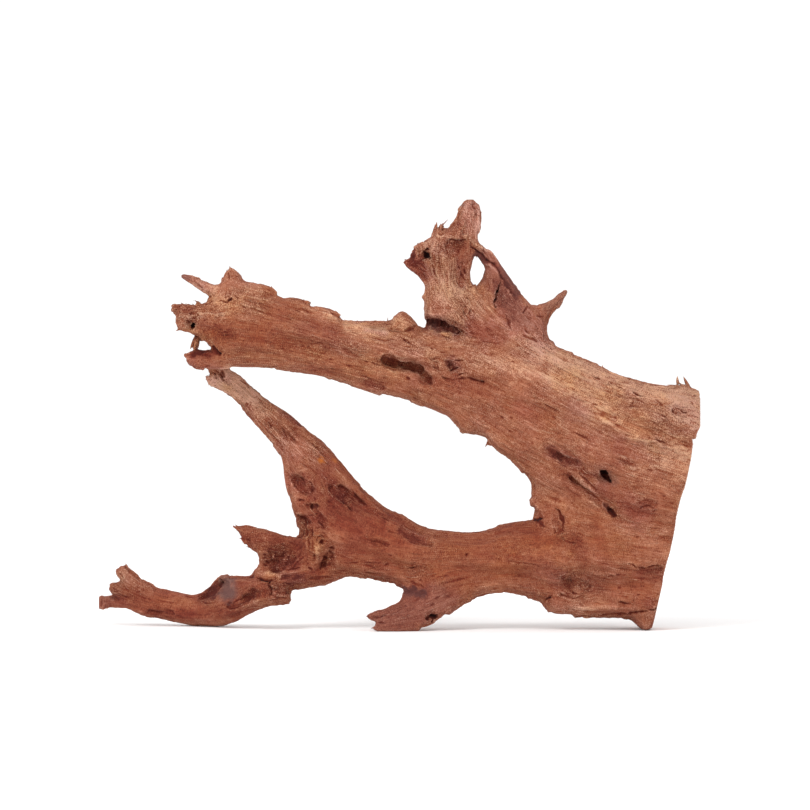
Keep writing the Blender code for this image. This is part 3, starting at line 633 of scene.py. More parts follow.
    ([(420, 543), (431, 543)], 1.4, 0.8, 0.65),
    ([(371, 541), (376, 541), (388, 543)], 1.2, 0.7, 0.6),
    ([(350, 562), (359, 563)], 1.2, 0.8, 0.7),
    ([(438, 576), (447, 575)], 1.0, 0.6, 0.6),
    ([(427, 617.5), (431, 617)], 2.1, 1.6, 0.92),
    ([(432, 616.5), (436, 616)], 2.7, 2.8, 1.0),
    ([(434, 618), (433, 621.5)], 1.8, 1.8, 0.94),
    ([(374, 617), (384, 615)], 1.6, 0.9, 0.7),
    ([(378, 621), (386, 622)], 1.1, 0.9, 0.8),
    ([(410, 581), (424, 586)], 1.4, 0.7, 0.6),
    # where the arm, the prong and the root meet
    ([(312.5, 504), (311.5, 506.5), (313, 509)], 1.8, 1.8, 1.0),
    ([(315, 503.5), (317, 506)], 1.0, 0.8, 0.8),
    ([(305, 505), (311, 503), (317, 504)], 0.9, 0.7, 0.6),
    ([(298.5, 500), (301, 498.5), (304, 498.5)], 1.4, 1.2, 1.0),
    ([(299, 517), (306, 517.5)], 1.9, 1.4, 0.85),
    ([(309, 515), (317, 513)], 1.1, 0.9, 0.8),
    ([(318, 520), (322, 522), (324, 526)], 1.5, 1.0, 0.75),
    ([(316, 527), (320, 527)], 0.9, 0.7, 0.8),
    ([(312, 528), (312, 536)], 1.5, 1.2, 0.8),
    ([(313, 540), (313, 549)], 1.2, 0.8, 0.55),
    ([(306, 524), (306, 535)], 1.1, 0.8, 0.6),
    ([(314, 552), (315, 560)], 1.1, 0.7, 0.55),
    ([(311, 566), (312, 569)], 1.3, 0.9, 0.8),
    ([(322, 540), (323.5, 542)], 2.4, 1.6, 0.8),
    ([(317, 539), (318, 535.5), (321, 534.5), (324, 537)], 1.0, 0.8, 0.75),
    ([(290, 558), (296, 551), (302, 546)], 1.1, 0.6, 0.55),
    ([(290, 563), (297, 556), (304, 550)], 1.1, 0.6, 0.6),
    ([(291, 568), (298, 561), (305, 556)], 1.1, 0.6, 0.6),
    ([(310, 528), (309, 540), (309, 552)], 1.1, 0.7, 0.6),
    ([(329, 547), (333, 548)], 1.4, 1.0, 0.8),
    ([(329, 551), (332, 552)], 1.5, 0.9, 0.85),
    ([(324, 557), (328, 558)], 1.9, 1.2, 0.85),
    ([(324, 562), (320, 566)], 1.3, 1.0, 0.85),
    ([(331, 561), (332, 563)], 1.4, 0.8, 0.75),
    # arm
    ([(222, 371), (223.5, 375)], 2.6, 1.6, 0.84),
    ([(212, 371), (217, 375)], 1.2, 0.9, 0.75),
    ([(209, 376), (213, 376)], 0.9, 0.7, 0.7),
    ([(208, 378.5), (212, 379)], 0.8, 0.6, 0.7),
    ([(216, 376), (217, 379)], 1.0, 0.6, 0.7),
    ([(213, 382), (215, 382)], 0.9, 0.6, 0.7),
    ([(240, 380), (246, 384), (250, 389)], 1.1, 0.6, 0.6),
    ([(221, 376), (224, 380)], 1.5, 1.0, 0.8),
    ([(246, 402), (248, 405)], 2.0, 1.0, 0.78),
    ([(253, 397), (258, 396)], 1.0, 0.8, 0.7),
    ([(264, 410)], 1.5, 0.6, 0.6),
    ([(267, 420), (271, 425), (269, 428)], 1.0, 0.6, 0.65),
    ([(269, 429), (276, 438), (283, 446)], 1.2, 0.8, 0.65),
    ([(283, 426), (284, 431), (287, 437)], 1.1, 0.7, 0.65),
    ([(297, 423), (301, 427)], 1.3, 0.8, 0.7),
    ([(307, 479), (311, 482), (313, 487)], 1.1, 0.9, 1.0),
    ([(293, 482), (298, 489), (306, 495)], 1.2, 0.9, 0.7),
    ([(298, 474), (302, 479), (306, 486)], 1.0, 0.7, 0.75),
    ([(313, 488), (311, 494)], 1.0, 0.6, 0.6),
    ([(340, 500), (346, 504), (352, 508)], 1.3, 1.2, 1.0),
    ([(352, 490), (358, 498), (364, 504)], 1.3, 0.7, 0.6),
    ([(338, 486), (345, 488)], 1.3, 0.7, 0.65),
    ([(362, 502), (367, 505)], 1.3, 0.8, 0.85),
    ([(325, 504), (334, 506)], 0.9, 0.5, 0.6),
    # root and prong
    ([(221, 579), (219, 584), (216, 590)], 1.8, 1.4, 0.95),
    ([(206, 590), (213, 586)], 1.2, 0.8, 0.8),
    ([(202, 598), (205, 600)], 1.3, 0.8, 0.9),
    ([(201, 602), (210, 603)], 0.9, 0.5, 0.55),
    ([(227, 608), (234, 608), (241, 606)], 1.5, 1.2, 0.85),
    ([(229, 603), (232, 602)], 1.1, 0.8, 0.85),
    ([(233, 602.5), (238, 600), (242, 597)], 1.3, 0.8, 0.75),
    ([(257, 578), (263, 579.5), (272, 580)], 1.6, 1.5, 1.0),
    ([(270, 581), (268.5, 585), (270.5, 588), (271, 591), (269.5, 595)], 1.7, 1.7, 1.0),
    ([(248, 575), (254, 575)], 1.3, 0.9, 0.85),
    ([(272, 587), (281, 587)], 1.0, 0.6, 0.65),
    ([(282, 583), (290, 583)], 1.2, 0.7, 0.8),
    ([(271, 595), (277, 597), (287, 598)], 1.1, 0.7, 0.75),
    ([(284, 593), (288, 592)], 1.2, 0.7, 0.8),
    ([(272, 569), (279, 568)], 2.0, 1.4, 0.9),
    ([(285, 570), (293, 568), (300, 566)], 1.1, 0.9, 0.85),
    ([(274, 565), (271, 557), (269, 551)], 0.9, 0.7, 0.75),
    ([(278, 565), (276, 557), (276, 551)], 0.9, 0.7, 0.75),
    ([(281, 565), (282, 557), (284, 551)], 0.9, 0.7, 0.75),
    ([(285, 565), (288, 557), (292, 551)], 0.9, 0.7, 0.7),
    ([(289, 566), (294, 560), (300, 554)], 0.9, 0.7, 0.65),
    ([(271, 566), (266, 560), (264, 555)], 0.9, 0.6, 0.6),
    ([(246, 539), (250, 541)], 1.4, 0.9, 0.8),
    ([(292, 536), (300, 534)], 1.2, 0.7, 0.7),
    ([(120, 573), (123, 577)], 1.4, 0.8, 0.7),
    ([(112, 586), (114, 591)], 1.2, 0.7, 0.7),
    ([(112, 592), (118, 592)], 1.0, 0.7, 0.8),
    ([(134, 592), (143, 590)], 0.9, 0.5, 0.6),
    ([(120, 596), (124, 597)], 1.1, 0.6, 0.7),
    ([(148, 609), (160, 613)], 1.3, 0.7, 0.6),
    ([(168, 609), (174, 614)], 1.8, 0.7, 0.55),
    ([(102, 600), (102, 605)], 1.0, 0.6, 0.6),
]

# Soft hollows on the front, never quite black: line, half width in steps, depth in mm, darkness,
# the painted shade inside the hollow
frontHollows = [
    ([(385, 359), (393, 361), (400, 363)], 5.6, 2.0, 0.60),
    ([(402, 364), (412, 366), (421, 369)], 5.0, 2.2, 0.26),
    ([(421, 370), (427, 376), (430, 382)], 4.2, 1.8, 0.46),
    ([(365, 381), (374, 385), (382, 388)], 3.6, 0.6, 0.22),
    ([(434, 361), (436, 366)], 4.2, 1.4, 0.34),
    ([(448, 362), (453, 367)], 5.0, 2.0, 0.52),
    ([(312, 370), (320, 369), (328, 370)], 1.6, 0.3, 0.24),
    ([(262, 296), (272, 294)], 5.0, 1.0, 0.20),
    ([(194, 314), (197, 315)], 4.5, 1.0, 0.30),
    ([(194, 321), (192, 324)], 6.0, 1.0, 0.26),
    ([(448, 245), (464, 246)], 6.0, 0.8, 0.14),
    ([(412, 262), (420, 266), (424, 274)], 6.0, 1.0, 0.36),
    ([(428, 321), (436, 322), (443, 323.5)], 4.0, 1.8, 0.54),
    ([(434, 327), (443, 328)], 4.0, 1.2, 0.20),
    ([(445, 325.5), (450, 328), (454, 329.5)], 4.6, 1.7, 0.60),
    ([(498, 292), (500, 302)], 4.5, 0.6, 0.16),
    ([(508, 300), (514, 312)], 7.0, 0.4, 0.14),
    ([(549, 449), (554, 452), (560, 456)], 5.0, 1.6, 0.52),
    ([(560, 456), (568, 460), (575, 464)], 4.6, 1.6, 0.36),
    ([(582, 470), (592, 480)], 5.0, 0.9, 0.22),
    ([(572, 480), (586, 492), (600, 502)], 4.6, 0.3, 0.10),
    ([(674, 409), (680, 414)], 6.0, 0.4, 0.34),
    ([(622, 459), (633, 464)], 5.0, 0.8, 0.28),
    ([(640, 502), (653, 503)], 6.0, 1.2, 0.30),
    ([(556, 518), (560, 530)], 5.5, 1.0, 0.20),
    ([(564, 580), (575, 582), (586, 585)], 7.0, 0.8, 0.14),
    ([(562, 577), (568, 580)], 3.0, 0.6, 0.22),
    ([(580, 584), (586, 588)], 3.0, 0.6, 0.20),
    ([(562, 594), (582, 597)], 4.0, 0.9, 0.22),
    ([(641, 571), (652, 570), (661, 569)], 4.6, 0.8, 0.22),
    ([(401, 529), (408, 535), (418, 541), (430, 543)], 4.6, 1.2, 0.30),
    ([(362, 538), (374, 542), (388, 543)], 4.0, 0.7, 0.22),
    ([(405, 590), (413, 591), (421, 593)], 5.4, 0.9, 0.66),
    ([(431, 616)], 6.0, 1.2, 0.28),
    ([(306, 506), (316, 506)], 3.5, 1.0, 0.30),
    ([(298, 517), (304, 518), (308, 521)], 4.4, 1.8, 0.72),
    ([(318, 514), (322, 519), (324, 524)], 5.0, 1.1, 0.44),
    ([(304, 522), (306, 534)], 4.0, 1.2, 0.32),
    ([(332, 548), (328, 556), (323, 564)], 3.2, 0.9, 0.34),
    ([(326, 558), (320, 567)], 2.6, 0.8, 0.30),
    ([(332, 556), (334, 566)], 5.0, 1.0, 0.30),
    # the two knots on the arm, in strokes along the grain
    ([(294, 476), (300, 484), (306, 491)], 4.6, 1.1, 0.34),
    ([(300, 477), (308, 484), (313, 490)], 3.6, 0.8, 0.28),
    ([(290, 474), (294, 482)], 3.0, 0.6, 0.22),
    ([(331, 487), (339, 494), (347, 501)], 4.4, 1.4, 0.42),
    ([(340, 486), (350, 494), (360, 502)], 3.2, 1.1, 0.32),
    ([(345, 501), (352, 508)], 2.8, 1.1, 0.40),
    ([(356, 496), (364, 504)], 2.4, 0.9, 0.32),
    ([(272, 424), (290, 438)], 6.0, 0.4, 0.10),
    ([(285, 412), (300, 424)], 4.0, 0.4, 0.26),
    ([(202, 597), (211, 592), (219, 583)], 6.0, 2.2, 0.50),
    ([(224, 583), (228, 592)], 6.5, 1.6, 0.12),
    ([(228, 606.5), (234, 606), (240, 605)], 3.0, 1.0, 0.42),
    ([(243, 601), (248, 596), (254, 589.5)], 4.8, 1.3, 0.56),
    ([(247, 600), (256, 594)], 6.0, 0.8, 0.26),
    ([(272, 568), (278, 560), (284, 554)], 5.0, 1.2, 0.30),
    ([(278, 570), (286, 562), (293, 557)], 4.6, 1.2, 0.26),
    ([(284, 576), (302, 577)], 4.0, 0.7, 0.24),
    ([(276, 588), (288, 590)], 6.0, 0.9, 0.22),
    ([(150, 611), (172, 612)], 4.5, 0.8, 0.26),
    ([(112, 597), (128, 598)], 4.0, 0.8, 0.26),
    ([(228, 615), (240, 611)], 4.0, 0.6, 0.24),
]

# Ridges and lips on the front: line, half width in steps, height in mm; each crest is painted
# paler, a painted highlight
frontRidges = [
    ([(570, 470), (583, 481), (598, 494)], 2.1, 1.5),
    ([(671.5, 406), (671.5, 414)], 0.9, 0.8),
    ([(548, 457), (560, 464), (572, 472)], 1.6, 0.5),
    ([(590, 500), (600, 509), (606, 516)], 1.6, 0.5),
    ([(603, 459), (612, 467), (618, 470)], 1.1, 0.6),
    ([(626, 436), (640, 439), (655, 441)], 1.6, 0.6),
    ([(470, 240), (480, 246), (490, 251), (497, 258)], 2.4, 1.1),
    ([(474, 245.5), (482, 247.5), (491, 253)], 1.4, 0.8),
    ([(484, 261), (490, 264.5), (496, 271), (499, 279)], 1.3, 0.8),
    ([(501, 283), (505, 288), (509, 290)], 1.5, 0.6),
    ([(461, 234), (465, 236), (470, 238)], 1.6, 0.8),
    ([(438, 236), (450, 236), (462, 237)], 2.2, 0.8),
    ([(416.5, 246), (417, 251), (418, 256)], 0.9, 1.0),
    ([(420.5, 247), (421, 251), (420.5, 256)], 0.9, 1.0),
    ([(436, 232), (438, 236), (441, 239)], 0.9, 0.7),
    ([(446, 233), (443, 237), (440, 240)], 0.9, 0.7),
    ([(461, 234), (466, 236), (471, 241), (476, 246)], 0.9, 0.6),
    ([(467, 262), (467, 270), (466, 278)], 1.3, 0.5),
    ([(436, 231), (442, 230)], 1.8, 0.7),
    ([(426, 313), (440, 315), (452, 320)], 2.2, 0.8),
    ([(478, 208), (479, 236)], 1.6, 0.4),
    ([(372, 357), (390, 352), (404, 356)], 2.4, 0.4),
    ([(380, 366), (392, 371), (414, 374)], 1.8, 0.6),
    ([(453, 363), (455, 366)], 1.0, 0.8),
    ([(322, 310), (333, 317), (339, 320)], 1.8, 0.6),
    ([(178, 316), (190, 316), (200, 313), (212, 314), (225, 316)], 1.6, 0.7),
    ([(190, 358), (205, 356)], 1.3, 0.5),
    ([(297, 513), (302, 513)], 2.2, 0.6),
    ([(308, 534), (307, 552)], 1.5, 0.8),
    ([(273, 564), (268, 556), (266, 550)], 0.8, 0.5),
    ([(276, 563), (273, 556), (273, 550)], 0.8, 0.5),
    ([(280, 562), (279, 555), (280, 549)], 0.8, 0.5),
    ([(284, 562), (285, 555), (288, 549)], 0.8, 0.5),
    ([(288, 563), (291, 557), (296, 551)], 0.8, 0.5),
    ([(292, 565), (297, 560), (303, 555)], 0.8, 0.5),
    ([(269, 566), (264, 561), (261, 556)], 0.8, 0.4),
    ([(334, 551), (335, 556), (338, 560)], 1.4, 0.6),
    ([(317, 546), (317, 562)], 2.2, 0.8),
    ([(258, 573), (275, 574), (290, 572), (304, 568)], 2.6, 0.9),
    ([(224, 577), (231, 581), (235, 590)], 1.7, 0.8),
    ([(240, 611), (252, 602), (262, 597)], 1.8, 0.6),
    ([(236, 578), (262, 582)], 1.8, 0.5),
    ([(350, 494), (360, 503)], 1.2, 0.5),
    ([(333, 467), (344, 479), (354, 491)], 2.0, 0.4),
    ([(572, 608), (610, 606), (640, 607)], 3.0, 0.5),
    ([(578, 617), (620, 618)], 1.2, 0.6),
    ([(430, 537), (442, 540)], 1.2, 0.4),
    ([(528, 346), (560, 360), (590, 372)], 1.8, 0.5),
    ([(540, 356), (572, 372), (606, 388)], 1.6, 0.5),
    ([(596, 412), (612, 424), (624, 436)], 2.4, 0.4),
]

# Where the outline is trimmed: line, half width in steps, and mm off (on where below 0)
frontThinned = [
    # head and upper limb
    ([(196, 337), (197, 339)], 4, 1.2),
    ([(207, 341), (211, 346)], 4, 1.1),
    ([(197, 351), (207, 350)], 3, -0.5),
    ([(184, 279), (205, 290), (214, 295)], 6, 0.5),
    ([(193, 300), (202, 301), (209, 297)], 5, 1.1),
    ([(203, 280), (213, 283), (219, 282)], 3, 0.9),
    ([(172, 303), (173, 308)], 4, -0.9),
    ([(188, 354), (194, 364), (202, 369)], 5, -0.5),
    ([(244, 281), (262, 284), (276, 292)], 4, 0.6),
    ([(286, 296), (303, 298)], 4, 0.8),
    ([(313, 305), (334, 309), (342, 318)], 4, 0.9),
    ([(345, 320), (386, 320)], 4, 0.5),
    ([(397, 318), (403, 311), (420, 325)], 4, -0.8),
    ([(234, 367), (256, 368), (272, 370)], 4, 1.2),
    ([(276, 370), (322, 377)], 4, 0.6),
    ([(334, 380), (347, 385)], 4, 0.7),
    ([(350, 387), (377, 394)], 4, -0.4),
    ([(385, 395), (407, 399)], 4, 1.0),
    ([(427, 407), (442, 412)], 4, 0.7),
    ([(448, 416), (457, 427)], 4, 1.0),
    ([(466, 436), (476, 434), (484, 438)], 4, 1.5),
    ([(494, 448), (508, 458)], 4, 0.6),
    ([(509, 459), (523, 473)], 4, -0.5),
    ([(525, 476), (531, 483), (531.5, 494)], 4, 1.7),
    ([(533, 508.5), (537, 513), (539.5, 516.5)], 3.0, 2.6),
    # spur, strap and thorn
    ([(445, 229), (451, 224), (457, 214)], 4, 1.2),
    ([(430, 234), (434, 226)], 4, 0.9),
    ([(478, 236), (484, 247)], 4, 0.7),
    ([(480, 207), (481, 231)], 4, -0.5),
    ([(412, 252), (414, 246), (420, 242)], 4, -0.9),
    ([(425, 303), (426, 328)], 4, 0.5),
    ([(474, 254), (470, 270), (472, 286)], 4, -0.6),
    ([(476, 252), (486, 264), (484, 278), (476, 288)], 4, -0.7),
    ([(492, 252), (504, 272), (517, 290)], 4, -0.9),
    ([(519, 291), (530, 302)], 4, 0.6),
    ([(542, 305), (556, 299), (566, 289)], 4, -1.1),
    ([(556, 312), (549, 322), (548, 336)], 5, 1.2),
    ([(554, 343), (570, 352)], 4, -0.6),
    # trunk
    ([(576, 356), (600, 364)], 4, 0.7),
    ([(606, 369), (640, 380), (677, 385)], 4, 0.9),
    ([(552, 614), (570, 616)], 4, 1.4),
    ([(576, 617), (600, 617), (624, 618)], 4, -0.8),
    ([(545, 603), (551, 612)], 4, -0.3),
    ([(482, 530), (500, 525), (523, 520)], 4, 0.2),
    ([(403, 516), (423, 527)], 4, -0.6),
    # arm
    ([(208, 384), (224, 392), (238, 401)], 5, 0.9),
    ([(206, 373.3), (209, 373)], 1.9, 2.6),
    ([(206, 370)], 2.2, 1.8),
    ([(243, 408), (256, 424), (270, 441)], 5, 1.1),
    ([(281, 458), (284, 478), (290, 500)], 5, 0.9),
    ([(288, 500), (294, 515)], 5, 0.8),
    ([(292, 530), (298, 533)], 5, 2.8),
    ([(240, 378), (272, 402), (303, 427)], 4, -0.4),
    ([(328, 447), (338, 457)], 4, 0.5),
    ([(363, 488), (376, 500), (390, 510)], 4, 0.7),
    # prong, root and foot
    ([(247, 547), (255, 552), (258, 560)], 4, 1.0),
    ([(236, 526), (260, 529), (276, 533), (290, 537)], 4, -0.4),
    ([(232, 575), (250, 576)], 4, 1.3),
    ([(125, 563), (130, 567), (140, 576)], 4, 1.3),
    ([(142, 578), (157, 587)], 5, 0.6),
    ([(158, 588), (180, 593), (197, 595)], 4, -0.2),
    ([(199, 592), (210, 583), (219, 577)], 4, -0.6),
    ([(111, 584), (113, 594)], 4, -0.2),
    ([(117, 572), (119, 580)], 4, -0.2),
    ([(100, 600), (101, 606)], 4, -1.6),
    ([(111, 607), (123, 609)], 4, 0.8),
    ([(134, 612), (148, 616)], 4, -0.6),
    ([(200, 624), (232, 626)], 4, 0.5),
    ([(293, 590), (293, 600)], 4, 0.8),
    ([(294, 589), (320, 588)], 4, 0.5),
    ([(324, 585), (345, 577), (366, 578)], 4, -0.3),
    ([(370, 580), (382, 582.5), (392, 586)], 4, 1.4),
    ([(368, 618), (384, 610), (400, 603)], 4, -0.1),
    ([(426, 629), (436, 624), (443, 618)], 6, 2.4),
    ([(444, 616), (456, 607), (472, 600)], 4, -0.7),
    ([(474, 597), (490, 594), (500, 593)], 4, 0.9),
    ([(507, 593), (523, 597)], 4, 1.3),
]

# How the saw cut wanders, seen edge on: down, and mm in from a flat cut
sawEdge = [
    (395, 0.3), (406, 0.0), (426, 0.1), (430, 1.4), (434, 2.6), (438, 2.4), (443, 1.0), (456, 0.2),
    (467, -0.4), (484, -0.5), (499, 1.2), (514, 1.3), (526, 0.4), (545, -0.6), (560, 0.4),
    (576, 0.5), (590, -0.6), (602, -1.0), (628, -0.8),
]
